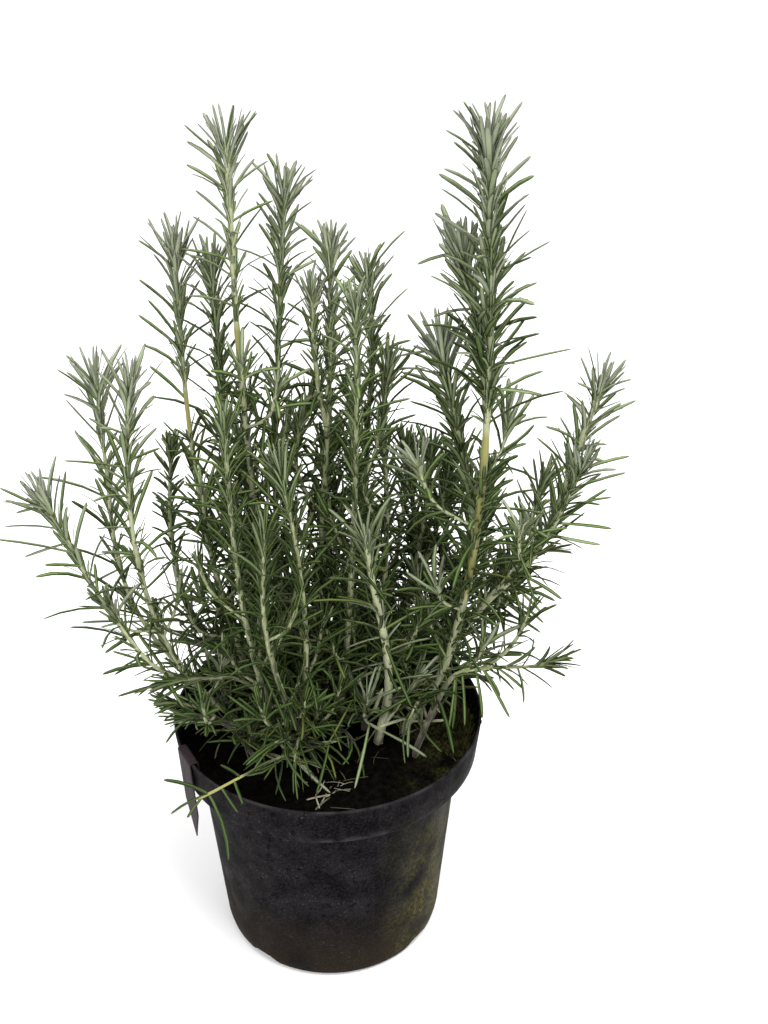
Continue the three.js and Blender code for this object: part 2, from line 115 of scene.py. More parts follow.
softbox("overhead_softbox", (0.5, -0.5, 2.1), (0, 0, 0.25), 1.1, 42)
softbox("front_softbox", (-0.6, -1.7, 1.5), (0, 0, 0.2), 0.7, 19)
world = bpy.data.worlds.new("studio")
world.use_nodes = True
wire(world.node_tree.nodes["Background"], ("Color", (1, 1, 1, 1)), ("Strength", SKY_STRENGTH))
bpy.context.scene.world = world
bpy.context.scene.view_settings.view_transform = "Standard"


# Pot
# One injection moulding in thin black polypropylene, with a stepped collar that makes it stack and
# four drain notches moulded into its foot. Years outdoors left dust, water marks and algae on it.
MM = 0.001
POT_HEIGHT = 160
RIM_RADIUS = 95
COLLAR_HEIGHT = 25
COLLAR_FOOT_RADIUS = 92.3
WALL_TOP_RADIUS = 81.6
WALL_FOOT_RADIUS = 70.6
BASE_RADIUS = 66
CORNER_RADIUS = 69.2
CORNER_LOW = 2.4
CORNER_HEIGHT = 8
WALL = 1.5
POT_FLOOR = 2.2
DRAIN_COUNT = 4
DRAIN_WIDTH = 30
DRAIN_TOP_WIDTH = 10
DRAIN_HEIGHT = 6.5
DRAIN_INNER_RADIUS = 57
FIRST_DRAIN_ANGLE = math.radians(-127)
POT_SIDES = 192


def rounded(outline, steps=5):
    """An outline of (radius, height, bend): each corner gives way to a curve that starts and ends its
    bend away from the corner and is pulled towards it, as (1-t)^2, 2t(1-t) and t^2 of the three points."""
    points = np.array(outline, float)
    corner, bend = points[:, :2], points[:, 2:]
    before = np.vstack([corner[:1], corner[:-1]]) - corner
    after = np.vstack([corner[1:], corner[-1:]]) - corner
    before /= np.maximum(np.linalg.norm(before, axis=1, keepdims=True), 1e-9)
    after /= np.maximum(np.linalg.norm(after, axis=1, keepdims=True), 1e-9)
    t = np.linspace(0, 1, steps)[None, :, None]
    start, end = (corner + bend * before)[:, None], (corner + bend * after)[:, None]
    curve = (1 - t) ** 2 * start + 2 * t * (1 - t) * corner[:, None] + t**2 * end
    return curve.reshape(-1, 2)


def packed(*parts):
    """Arrays of one shape side by side, along a new last axis."""
    return np.stack(parts, axis=-1)


def grid_faces(rows, columns, wrap):
    """Four-sided faces of a grid of corners; with wrap, the last column joins the first."""
    row = np.arange(rows - 1)[:, None] * columns
    column = np.arange(columns if wrap else columns - 1)[None, :]
    beside = (column + 1) % columns
    faces = packed(row + column, row + beside, row + beside + columns, row + column + columns)
    return faces.reshape(-1, 4)


def new_piece(name, corners, faces, finishes, merge=True, shares=None, finish_of=None):
    """An object from corners in millimetres and four-sided faces. Corners that meet are merged, which
    closes seams and poles. Shares are named values of each corner for the finish to read."""
    mesh = bpy.data.meshes.new(name)
    mesh.vertices.add(len(corners))
    mesh.vertices.foreach_set("co", (np.asarray(corners) * MM).astype(np.float32).ravel())
    mesh.loops.add(faces.size)
    mesh.loops.foreach_set("vertex_index", faces.astype(np.int32).ravel())
    mesh.polygons.add(len(faces))
    mesh.polygons.foreach_set("loop_start", np.arange(0, faces.size, 4, dtype=np.int32))
    mesh.polygons.foreach_set("use_smooth", np.ones(len(faces), bool))
    if finish_of is not None:
        mesh.polygons.foreach_set("material_index", finish_of.astype(np.int32))
    mesh.update(calc_edges=True)
    for share_name, values in (shares or {}).items():
        attribute = mesh.attributes.new(share_name, "FLOAT_VECTOR", "POINT")
        attribute.data.foreach_set("vector", values.astype(np.float32).ravel())
    for finish in finishes:
        mesh.materials.append(finish)
    piece = bpy.data.objects.new(name, mesh)
    bpy.context.scene.collection.objects.link(piece)
    if merge:
        weld(piece)
    return piece


def weld(piece):
    """Merges corners that meet, which closes seams and poles, and turns the faces outwards."""
    shape = bmesh.new()
    shape.from_mesh(piece.data)
    bmesh.ops.remove_doubles(shape, verts=shape.verts, dist=0.02 * MM)
    bmesh.ops.dissolve_degenerate(shape, edges=shape.edges, dist=0.001 * MM)
    bmesh.ops.recalc_face_normals(shape, faces=shape.faces)
    shape.to_mesh(piece.data)
    shape.free()


def turned(outline, sides):
    """The outline carried round the pot's axis: (r cos a, r sin a, z) for every angle a."""
    angle = np.arange(sides) * 2 * np.pi / sides
    radius, height = outline[:, :1], outline[:, 1:]
    corners = packed(radius * np.cos(angle), radius * np.sin(angle), height + 0 * angle)
    return corners.reshape(-1, 3), grid_faces(len(outline), sides, True)


def patches(place, size, low, high, detail=3.0, stretch=(1, 1, 1)):
    """Shares from 0 to 1 in patches about size metres across: noise cut off below low and above high."""
    tree = place.id_data
    scale = tuple(part / size for part in stretch)
    spread = add_node(tree, "Mapping", ("Vector", place), ("Scale", scale))
    noise = add_node(tree, "TexNoise", ("Vector", spread.outputs[0]), ("Scale", 1.0), ("Detail", detail))
    return between(noise.outputs[0], low, high)


def between(value, low, high, start=0.0, end=1.0):
    """A value's share of the way from low to high, kept from 0 to 1 and laid out from start to end."""
    reach = ("From Min", low), ("From Max", high), ("To Min", start), ("To Max", end)
    return add_node(value.id_data, "MapRange", ("Value", value), *reach).outputs[0]


def combined(first, second, operation):
    return add_node(first.id_data, "Math", (0, first), (1, second), operation=operation).outputs[0]


def times(first, second):
    return combined(first, second, "MULTIPLY")


def tint(share, under, over):
    """The colour over laid on the colour under, by a share."""
    under, over = ((*colour, 1) if isinstance(colour, tuple) else colour for colour in (under, over))
    return add_node(share.id_data, "Mix", (0, share), (6, under), (7, over), data_type="RGBA").outputs[2]


def layers(colour, *coats):
    """A colour with coats on it, from the lowest up: each is a share and a colour."""
    for share, over in coats:
        colour = tint(share, colour, over)
    return colour


def split(vector):
    return add_node(vector.id_data, "SeparateXYZ", ("Vector", vector)).outputs


def relief(shader, height, depth):
    """Raises the surface by depth metres where the height is 1."""
    bump = add_node(shader.id_data, "Bump", ("Height", height), ("Distance", depth), ("Strength", 1.0))
    wire(shader, ("Normal", bump.outputs[0]))


POT_BLACK = (0.0016, 0.0013, 0.0017)
POT_DUST = (0.0108, 0.0094, 0.0105)
POT_SPECK = (0.05, 0.046, 0.043)
POT_SCUFF_AND_HIGHLIGHT = (0.028, 0.026, 0.028)
ALGAE = (0.09, 0.073, 0.02)
ALGAE_GREEN = (0.026, 0.027, 0.008)
POT_BROWN = (0.015, 0.0105, 0.0062)

ledge = POT_HEIGHT - COLLAR_HEIGHT
pot_outline = rounded([
    (0, 0, 0),
    (BASE_RADIUS, 0, 1.2),
    (CORNER_RADIUS, CORNER_LOW, 1.4),
    (WALL_FOOT_RADIUS, CORNER_HEIGHT, 2),
    (WALL_TOP_RADIUS, ledge, 0.6),
    (COLLAR_FOOT_RADIUS, ledge, 0.9),
    (RIM_RADIUS, POT_HEIGHT, 0.7),
    (RIM_RADIUS - WALL, POT_HEIGHT, 0.6),
    (COLLAR_FOOT_RADIUS - WALL, ledge + WALL, 0.6),
    (WALL_TOP_RADIUS - WALL, ledge + WALL, 0.6),
    (WALL_FOOT_RADIUS - WALL, CORNER_HEIGHT + WALL / 2, 1.2),
    (CORNER_RADIUS - WALL, CORNER_LOW + WALL, 1),
    (BASE_RADIUS - WALL / 2, POT_FLOOR, 0.6),
    (0, POT_FLOOR, 0),
])
pot_finish, shader, place = new_finish("aged_black_plastic")
x, _, z = split(place)
runs = patches(place, 0.006, 0.56, 0.72, 4, (1, 1, 0.12))
film = times(between(x, 0.03, 0.066), between(z, 0.15, 0.03))
film = times(film, patches(place, 0.018, 0.34, 0.6, 6))
fur = times(film, patches(place, 0.0022, 0.44, 0.6, 5))
specks = times(patches(place, 0.0015, 0.62, 0.7, 2), patches(place, 0.02, 0.44, 0.6, 3))
scuff_band = times(between(z, 0.1335, 0.1358), between(z, 0.14, 0.1362))
colour = layers(
    POT_BLACK,
    (patches(place, 0.02, 0.34, 0.7, 6), POT_DUST),
    (patches(place, 0.0045, 0.52, 0.66, 5), POT_BLACK),
    (times(runs, 0.5), POT_DUST),
    (times(between(z, 0.06, 0.012), patches(place, 0.03, 0.24, 0.5, 4)), POT_BROWN),
    (times(film, 0.9), ALGAE_GREEN),
    (fur, ALGAE),
    (times(specks, 0.7), POT_SPECK),
    (times(patches(place, 0.0013, 0.46, 0.66, 3), 0.3), POT_SCUFF_AND_HIGHLIGHT),
    (times(scuff_band, patches(place, 0.01, 0.42, 0.6, 6)), POT_SCUFF_AND_HIGHLIGHT),
    # A lighter line along the rim's top: partly wear, partly a painted highlight.
    (times(between(z, 0.1578, 0.1597), patches(place, 0.012, 0.35, 0.65, 5)), POT_SCUFF_AND_HIGHLIGHT),
)
dull = between(patches(place, 0.015, 0.35, 0.65, 5), 0, 1, 0.42, 0.62)
wire(shader, ("Base Color", colour), ("Roughness", dull), ("Specular IOR Level", 0.012))
relief(shader, combined(patches(place, 0.0012, 0.3, 0.8, 4), fur, "ADD"), 0.00012)

pot = new_piece("pot_shell", *turned(pot_outline, POT_SIDES), [pot_finish])
foot, half = DRAIN_WIDTH / 2, DRAIN_TOP_WIDTH / 2
drain_face = [(foot, -3), (foot, 0), (half, DRAIN_HEIGHT), (-half, DRAIN_HEIGHT), (-foot, 0), (-foot, -3)]
drain_face = np.array(drain_face)
drain_ends = np.array([DRAIN_INNER_RADIUS, RIM_RADIUS])
drain_corners, drain_faces = [], []
for i in range(DRAIN_COUNT):
    turn = FIRST_DRAIN_ANGLE + i * 2 * math.pi / DRAIN_COUNT
    outward = np.array([math.cos(turn), math.sin(turn), 0])
    across = np.array([-math.sin(turn), math.cos(turn), 0])
    flat = drain_face[:, :1] * across + drain_face[:, 1:] * np.array([0, 0, 1])
    drain_corners.append((drain_ends[:, None, None] * outward + flat).reshape(-1, 3))
    sides = grid_faces(2, 6, True)
    ends = np.array([[0, 5, 2, 1], [5, 4, 3, 2], [6, 7, 8, 11], [8, 9, 10, 11]])
    drain_faces.append(np.vstack([sides, ends]) + 12 * i)
drains = new_piece("drain_cutter", np.vstack(drain_corners), np.vstack(drain_faces), [pot_finish])
cut = pot.modifiers.new("drains", "BOOLEAN")
cut.operation = "DIFFERENCE"
cut.object = drains
cut_mesh = bpy.data.meshes.new_from_object(pot.evaluated_get(bpy.context.evaluated_depsgraph_get()))
pot.modifiers.clear()
pot.data = cut_mesh
bpy.data.objects.remove(drains)
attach(pot, "root")
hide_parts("pot")

# Soil
# Dark peaty compost, wet and crumbly, settled below the rim. It rises in a mossy hump against the
# right wall, and crumbs of peat and bark lie loose on it.
CLEARANCE = 0.3
SOIL_LEVEL = 139.5
SOIL_WAVE = 1.6
WAVE_LENGTH_X = 57
WAVE_LENGTH_Y = 70
MOSS_RISE = 9
MOSS_PLACE = (66, 14)
MOSS_SPREAD = 20
SOIL_SIDES = 224
SOIL_RINGS = 84
LATTICE = 256
SOIL_DARK = (0.001, 0.0008, 0.0006)
SOIL_BROWN = (0.0042, 0.003, 0.0022)
SOIL_CRUMB = (0.016, 0.012, 0.009)
MOSS_DARK = (0.01, 0.0105, 0.0035)
MOSS_LIGHT = (0.05, 0.049, 0.016)


def soil_top(x, y):
    """Height of the soil: two crossing waves and a round hump that fades as exp(-distance squared)."""
    u, v = 2 * np.pi * x / WAVE_LENGTH_X, 2 * np.pi * y / WAVE_LENGTH_Y
    waves = np.sin(u + 1) * np.cos(v) + 0.6 * np.sin(2 * v - u / 2)
    away = ((x - MOSS_PLACE[0]) ** 2 + (y - MOSS_PLACE[1]) ** 2) / MOSS_SPREAD**2
    return SOIL_LEVEL + SOIL_WAVE * waves + MOSS_RISE * np.exp(-away)


def lumps(x, y, size, seed):
    """Lumps of a size, from -1 to 1: random heights on a square lattice, blended smoothly between."""
    heights = np.random.default_rng(seed).uniform(-1, 1, (LATTICE, LATTICE))
    column, row = np.floor(x / size).astype(int), np.floor(y / size).astype(int)
    across, up = x / size - column, y / size - row
    across, up = across**2 * (3 - 2 * across), up**2 * (3 - 2 * up)

    def line(row):
        beside = heights[row % LATTICE, (column + 1) % LATTICE]
        return heights[row % LATTICE, column % LATTICE] * (1 - across) + beside * across

    return line(row) * (1 - up) + line(row + 1) * up


def crumbly_top(x, y):
    """The soil's height with its crumbs: lumps of three sizes."""
    rough = 1.0 * lumps(x, y, 9, 1) + 0.8 * lumps(x, y, 4, 2) + 0.5 * lumps(x, y, 1.9, 3)
    return soil_top(x, y) + rough - 0.6


soil_finish, shader, place = new_finish("peaty_compost")
x, _, z = split(place)
mossy = times(between(x, 0.038, 0.068), patches(place, 0.012, 0.38, 0.6, 5))
film_colour = tint(patches(place, 0.0018, 0.42, 0.62, 4), MOSS_DARK, MOSS_LIGHT)
colour = layers(
    SOIL_DARK,
    (patches(place, 0.004, 0.4, 0.66, 8), SOIL_BROWN),
    (patches(place, 0.0016, 0.66, 0.74, 3), SOIL_CRUMB),
    (times(mossy, between(z, 0.135, 0.141)), film_colour),
)
damp = between(patches(place, 0.02, 0.35, 0.65, 3), 0, 1, 0.7, 0.95)
wire(shader, ("Base Color", colour), ("Roughness", damp), ("Specular IOR Level", 0.03))
relief(shader, patches(place, 0.0014, 0.25, 0.75, 6), 0.0006)

collar_edge = COLLAR_FOOT_RADIUS - WALL - CLEARANCE
buried = np.array([
    (0, POT_FLOOR + CLEARANCE),
    (DRAIN_INNER_RADIUS - 1, POT_FLOOR + CLEARANCE),
    (DRAIN_INNER_RADIUS, DRAIN_HEIGHT + 1),
    (WALL_FOOT_RADIUS - WALL - CLEARANCE, DRAIN_HEIGHT + 3),
    (WALL_TOP_RADIUS - WALL - CLEARANCE, ledge + WALL + CLEARANCE),
    (collar_edge, ledge + WALL + CLEARANCE),
])
surface = np.linspace(collar_edge, 0, SOIL_RINGS)
soil_outline = np.vstack([buried, packed(surface, np.full(len(surface), SOIL_LEVEL))])
soil_corners, soil_faces = turned(soil_outline, SOIL_SIDES)
is_top = np.repeat(np.arange(len(soil_outline)) >= len(buried), SOIL_SIDES)
soil_corners[is_top, 2] = crumbly_top(soil_corners[is_top, 0], soil_corners[is_top, 1])
soil = new_piece("compost", soil_corners, soil_faces, [soil_finish])
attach(soil, "root")
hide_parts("soil")


def rod_faces(rings, sides):
    """Faces of a closed rod of rings, its two ends filled by strips of four-sided faces."""
    k = np.arange(sides // 2 - 1)
    end = packed(k, k + 1, sides - 2 - k, sides - 1 - k)
    return np.vstack([grid_faces(rings, sides, True), end[:, ::-1], end + (rings - 1) * sides])


def copies(faces, corners_each, count):
    """The same faces for every one of count equal shapes."""
    return (faces[None] + (np.arange(count) * corners_each)[:, None, None]).reshape(-1, 4)


def scattered(count, reach, rng):
    """Random places in a disc, evenly spread: the radius goes with the square root of a draw."""
    radius, turn = reach * np.sqrt(rng.random(count)), 2 * np.pi * rng.random(count)
    return radius * np.cos(turn), radius * np.sin(turn)


CRUMB_COUNT = 1000
CRUMB_REACH = 88
RIM_CRUMBS = 22
RIM_CRUMB_TURNS = (-13, 2)
CRUMB_SIZES = (0.5, 1.7)
CRUMB_RINGS = np.array([(0.35, -0.9), (0.95, -0.25), (0.85, 0.45), (0.25, 0.95)])
rng = np.random.default_rng(11)
crumb_x, crumb_y = scattered(CRUMB_COUNT, CRUMB_REACH, rng)
crumb_size = CRUMB_SIZES[0] + (CRUMB_SIZES[1] - CRUMB_SIZES[0]) * rng.random(CRUMB_COUNT) ** 3
crumb = turned(CRUMB_RINGS, 6)[0].reshape(4, 6, 3)
crumb_corners = crumb * crumb_size[:, None, None, None] * rng.uniform(0.65, 1.25, (CRUMB_COUNT, 4, 6, 1))
crumb_corners *= rng.uniform(0.7, 1.3, (CRUMB_COUNT, 1, 1, 3))
crumb_place = packed(crumb_x, crumb_y, crumbly_top(crumb_x, crumb_y) + 0.25 * crumb_size)
rim_turn = np.radians(rng.uniform(*RIM_CRUMB_TURNS, RIM_CRUMBS))
on_rim = RIM_RADIUS - WALL / 2
rim_height = np.full(RIM_CRUMBS, POT_HEIGHT + 0.5)
crumb_place[:RIM_CRUMBS] = packed(on_rim * np.cos(rim_turn), on_rim * np.sin(rim_turn), rim_height)
crumb_corners += crumb_place[:, None, None]
crumb_faces = copies(rod_faces(4, 6), 24, CRUMB_COUNT)
crumbs = new_piece("compost_crumbs", crumb_corners.reshape(-1, 3), crumb_faces, [soil_finish], merge=False)
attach(crumbs, "root")

# Label
# A strip of limp purplish-brown plastic, bent over the pot's rim by hand, with a pointed lower end.
# It has no print. Sun and handling have left it dull, and pale streaks along it are painted sheen.
LABEL_WIDTH = 19
LABEL_THICKNESS = 0.8
LABEL_DROP = 64
LABEL_TILT = 0.055
LABEL_POINT = 24
LABEL_INNER_DROP = 16
LABEL_INSET = 3.4
LABEL_STEPS = 60
LABEL_ANGLE = math.radians(-150.5)
LABEL_PURPLE = (0.031, 0.021, 0.026)
LABEL_BROWN = (0.018, 0.013, 0.013)
LABEL_SHEEN = (0.075, 0.063, 0.068)


def distances(line):
    """How far each point of a line is from its start, along it."""
    return np.r_[0, np.cumsum(np.linalg.norm(np.diff(line, axis=0), axis=1))]


def read_at(steps, run, values):
    """Rows of values known at distances run, read at steps between them."""
    return packed(*(np.interp(steps, run, column) for column in values.T))


def unit(vectors):
    return vectors / np.linalg.norm(vectors, axis=-1, keepdims=True)


label_finish, shader, place = new_finish("purple_label_plastic")
# Pale streaks along the strip are painted sheen.
sheen_streaks = times(patches(place, 0.0012, 0.6, 0.75, 4, (1, 1, 0.06)), 0.6)
colour = layers(LABEL_PURPLE, (patches(place, 0.012, 0.35, 0.65, 4), LABEL_BROWN), (sheen_streaks, LABEL_SHEEN))
wire(shader, ("Base Color", colour), ("Roughness", 0.5), ("Specular IOR Level", 0.03))
relief(shader, patches(place, 0.003, 0.3, 0.7, 4, (1, 1, 0.2)), 0.0001)

outer = RIM_RADIUS + CLEARANCE + LABEL_THICKNESS / 2
inner = RIM_RADIUS - WALL - LABEL_INSET + LABEL_THICKNESS / 2
top = POT_HEIGHT + CLEARANCE + LABEL_THICKNESS / 2
strip_line = rounded([
    (outer - LABEL_TILT * LABEL_DROP, top - LABEL_DROP, 0),
    (outer - LABEL_TILT * LABEL_POINT, top - LABEL_POINT, 0),
    (outer, top, 1.6),
    (inner, top, 1.6),
    (inner, top - LABEL_INNER_DROP, 0),
], 7)
strip_line = strip_line[np.r_[True, np.linalg.norm(np.diff(strip_line, axis=0), axis=1) > 1e-6]]
run = distances(strip_line)
steps = np.unique(np.r_[run, np.linspace(0, run[-1], LABEL_STEPS)])
strip_line = read_at(steps, run, strip_line)
along = unit(np.gradient(strip_line, axis=0))
outwards = packed(along[:, 1], -along[:, 0])
half_width = LABEL_WIDTH / 2 * np.clip(steps / LABEL_POINT, 0.03, 1)
section = np.array([(1, 0.5), (0.9, 0.62), (0.45, 0.62), (0, 0.62), (-0.45, 0.62), (-0.9, 0.62), (-1, 0.5)])
section = np.vstack([section, (section * (1, -1))[::-1]])
rise = strip_line[:, None] + outwards[:, None] * section[None, :, 1:] * (LABEL_THICKNESS * 0.8)
side = half_width[:, None] * section[None, :, 0]
cos, sin = math.cos(LABEL_ANGLE), math.sin(LABEL_ANGLE)
label_corners = packed(
    rise[..., 0] * cos - side * sin,
    rise[..., 0] * sin + side * cos,
    rise[..., 1],
)
label_faces = rod_faces(len(steps), len(section))
label = new_piece("label_strip", label_corners.reshape(-1, 3), label_faces, [label_finish])
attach(label, "root")
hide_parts("plant_label")

# Leafy stems
# Living shoots: squarish stems, woody at the foot and downy above, with opposite pairs of leaves, each
# a quarter turn from the last, small leaves in the axils and a bundle at the tip. A leaf is a narrow
# leathery blade with its edges rolled under, dark above and with pale felt beneath.

# A stem goes STEM_DEPTH into the soil and stands straight for STEM_STRAIGHT above it. Its leaves carry
# painted shade:
# they take the old, dark colours at SHADE_HEIGHT and are free of it SHADE_DEPTH above it, and its bark is
# brown at
# BARK_HEIGHT and green one fade above it. A yellow stretch of bark has no leaves from its top down to
# BARE_REACH below it.
STEM_DEPTH = 13
STEM_STRAIGHT = 3
STEM_STEP = 4
SKIRT_STEP = 5
LONG_SHOOT_STEPS = 18
TWIG_TIP = 0.9
LEAF_WIDTH = 2.5
LEAF_THICKNESS = 1.0
# A leaf's rings stand at these shares of its length. A ring's corners are given as shares of half its
# width and of its thickness, and by the side they look to, from 1 above to -1 beneath.
BROAD_STATIONS = np.array([0, 0.12, 0.42, 0.72, 0.94, 1.0])
FINE_STATIONS = np.array([0, 0.3, 0.65, 0.93, 1.0])
BROAD_SECTION = np.array([
    (0.85, 0.3, 0.6), (0.0, 0.42, 1.0), (-0.85, 0.3, 0.6),
    (-1.0, -0.5, -0.3), (0.0, -0.12, -1.0), (1.0, -0.5, -0.3),
])
FINE_SECTION = np.array([(0.95, -0.05, 0.1), (0.0, 0.42, 1.0), (-0.95, -0.05, 0.1), (0.0, -0.32, -1.0)])
STEM_SIDES = 8
GOLDEN_TURN = np.radians(137.5)
TWIG_REACH = (30, 62)
SKIRT_REACH = (24, 44)
SKIRT_EDGE = 80
SHADE_HEIGHT = 140
SHADE_DEPTH = 290
BARK_HEIGHT = 152
BARK_FADE = 90
TWIG_BARK_FADE = 40
BARE_REACH = 32

LEAF_OLD = (0.009, 0.022, 0.003)
LEAF_GREEN = (0.037, 0.069, 0.014)
LEAF_FRESH = (0.094, 0.155, 0.033)
LEAF_YOUNG = (0.405, 0.46, 0.34)
LEAF_OLIVE = (0.075, 0.088, 0.016)
LEAF_EDGE_SHADE_OLD = (0.014, 0.018, 0.009)
LEAF_EDGE_SHADE_YOUNG = (0.09, 0.083, 0.074)
LEAF_TIP_SHADE = (0.128, 0.118, 0.114)
LEAF_PALE_AND_HIGHLIGHT = (0.38, 0.455, 0.19)
FELT_OLD = (0.078, 0.116, 0.034)
FELT_YOUNG = (0.4, 0.45, 0.3)
LEAF_STRAW = (0.3, 0.275, 0.205)
LEAF_BROWN = (0.052, 0.045, 0.025)
STEM_GREEN = (0.165, 0.19, 0.07)
STEM_DOWN = (0.34, 0.365, 0.215)
STEM_WHITE = (0.54, 0.56, 0.35)
STEM_YELLOW = (0.235, 0.232, 0.062)
BARK = (0.08, 0.06, 0.042)
BARK_DARK = (0.024, 0.018, 0.013)


def carried(shader, name):
    """The three shares that a piece carries under a name."""
    return split(add_node(shader.id_data, "Attribute", attribute_name=name).outputs["Vector"])


leaf_finish, shader, place = new_finish("rosemary_leaf")
edge, side, run = carried(shader, "blade")
draw, youth, dead = carried(shader, "tone")
freshness = between(youth, -0.16, 0.6)
greyness = between(youth, 0.3, 0.95)
bloom = times(patches(place, 0.0022, 0.45, 0.7, 3), 0.18)
colour = layers(
    LEAF_OLD,
    (between(draw, 0.1, 1.0), LEAF_GREEN),
    (between(draw, 0.92, 0.97), LEAF_OLIVE),
    # The youth share also carries painted shade: leaves low on the plant and on the inner stems get less of
    # the fresh and young colours.
    (between(youth, 0.0, 0.5), LEAF_FRESH),
    (between(youth, 0.4, 1.0), LEAF_YOUNG),
    # Painted shade: leaves with a low draw are darkened towards green, standing for leaves in shadow.
    (times(between(draw, 0.4, 0.0), 0.55), LEAF_GREEN),
    # A pale stripe along the ridge of the top: partly the midrib, partly a painted highlight.
    (times(times(between(edge, 0.3, 0.05), 0.75), freshness), LEAF_PALE_AND_HIGHLIGHT),
    # Painted shade: the rolled edges of a leaf are darkened to grey, as dark outlines.
    (times(between(edge, 0.52, 0.86), 0.8), tint(greyness, LEAF_EDGE_SHADE_OLD, LEAF_EDGE_SHADE_YOUNG)),
    (between(side, -0.42, -0.62), tint(youth, FELT_OLD, FELT_YOUNG)),
    (times(bloom, youth), FELT_YOUNG),
    # Painted shade: the outer part of a young leaf is greyed darker towards its tip.
    (times(times(between(run, 0.4, 0.95), 0.6), greyness), LEAF_TIP_SHADE),
    (times(times(between(run, 0.34, 0.0), 0.5), freshness), LEAF_PALE_AND_HIGHLIGHT),
    (dead, tint(between(draw, 0.3, 0.8), LEAF_BROWN, LEAF_STRAW)),
    (times(between(run, 0.93, 1.0), between(draw, 0.62, 0.8)), LEAF_BROWN),
)
waxy = between(side, -0.6, 0.4, 0.8, 0.46)
wire(shader, ("Base Color", colour), ("Roughness", waxy), ("Specular IOR Level", 0.06))
relief(shader, patches(place, 0.0008, 0.3, 0.7, 3), 0.00006)

stem_finish, shader, place = new_finish("rosemary_stem")
white, youth, yellow = carried(shader, "tone")
bark = tint(patches(place, 0.003, 0.4, 0.64, 6, (1, 1, 0.25)), BARK, BARK_DARK)
downy = patches(place, 0.0016, 0.38, 0.7, 4, (1, 1, 0.4))
green = layers(STEM_GREEN, (downy, STEM_DOWN), (times(white, 0.75), STEM_WHITE), (yellow, STEM_YELLOW))
ragged = combined(youth, patches(place, 0.012, 0.2, 0.8, 4), "ADD")
colour = tint(between(ragged, 0.55, 1.05), bark, green)
wire(shader, ("Base Color", colour), ("Roughness", 0.72), ("Sheen Weight", 0.2))
relief(shader, patches(place, 0.0012, 0.3, 0.7, 5, (1, 1, 0.2)), 0.0002)


def smooth_path(points, step):
    """Even steps along a smooth curve through points. Between two of them it is a cubic, and its slope
    at each is worked out from the distances to the neighbours, each to the power of a half."""
    knots = np.array(points, float)
    knots = np.vstack([2 * knots[0] - knots[1], knots, 2 * knots[-1] - knots[-2]])
    reach = np.sqrt(np.linalg.norm(np.diff(knots, axis=0), axis=1))[:, None]
    slope = np.diff(knots, axis=0) / reach
    before, here, after = reach[:-2], reach[1:-1], reach[2:]
    leaving = (slope[:-2] - (knots[2:-1] - knots[:-3]) / (before + here) + slope[1:-1]) * here
    arriving = (slope[1:-1] - (knots[3:] - knots[1:-2]) / (here + after) + slope[2:]) * here
    t = np.linspace(0, 1, 25)[None, :, None]
    a, b = knots[1:-2, None], knots[2:-1, None]
    leaving, arriving = leaving[:, None], arriving[:, None]
    curve = a + leaving * t + (3 * (b - a) - 2 * leaving - arriving) * t**2
    curve += (2 * (a - b) + leaving + arriving) * t**3
    curve = curve.reshape(-1, 3)
    run = distances(curve)
    steps = np.linspace(0, run[-1], max(3, round(run[-1] / step)))
    return read_at(steps, run, curve)


def around(turn):
    """Level directions, turned by an angle from +X."""
    return packed(np.cos(turn), np.sin(turn), 0 * turn)


def frames(path):
    """Direction of a path at each step, and two directions across it, the first square to +Y."""
    along = unit(np.gradient(path, axis=0))
    right = unit(np.cross((0, 1, 0), along))
    return along, right, np.cross(along, right)


def length_of(path):
    return np.linalg.norm(np.diff(path, axis=0), axis=1).sum()


def at(path, values, run):
    """Values given at the path's even steps, read at distances run along it."""
    return read_at(run, np.linspace(0, length_of(path), len(path)), values)


def stem_rod(path, foot_radius, tip_radius, white, youth, yellow):
    """A squarish rod. Its radius runs evenly from foot to tip, swells by a twentieth in waves along it,
    grows by a tenth at its four corners, as cos 4a, and closes at the tip. Its tone for the finish is
    how white, how young and how yellow it is; how young also carries the stem's paleness, which is
    lower on the inner stems as painted shade."""
    along, right, front = frames(path)
    share = np.linspace(0, 1, len(path))
    radius = (foot_radius + (tip_radius - foot_radius) * share) * (1 + 0.05 * np.cos(share * len(path) * 1.3))
    radius[-1] *= 0.2
    angle = np.arange(STEM_SIDES) * 2 * np.pi / STEM_SIDES
    reach = radius[:, None] * (1 + 0.1 * np.cos(4 * angle))
    corners = path[:, None] + (reach * np.cos(angle))[..., None] * right[:, None]
    corners += (reach * np.sin(angle))[..., None] * front[:, None]
    tone = packed(white + 0 * youth, youth, yellow)
    return {
        "corners": corners.reshape(-1, 3),
        "faces": rod_faces(len(path), STEM_SIDES),
        "blade": np.zeros((len(path) * STEM_SIDES, 3)),
        "tone": np.repeat(tone, STEM_SIDES, axis=0),
        "finish": 1,
    }


# Millimetres, directions, angles in radians and shares that each leaf is given.
LEAF_VALUES = [(name, float, 3) for name in ("root", "along", "outward")]
LEAF_VALUES += [(name, float) for name in ("lean", "curl", "swerve", "sag", "roll", "length", "width")]
LEAF_VALUES += [(name, float) for name in ("draw", "youth", "dead", "fine")]


def leaf_set(count, **values):
    """Leaves with the values given, and 0 for the others."""
    leaves = np.zeros(count, LEAF_VALUES)
    for name, value in values.items():
        leaves[name] = value
    return leaves


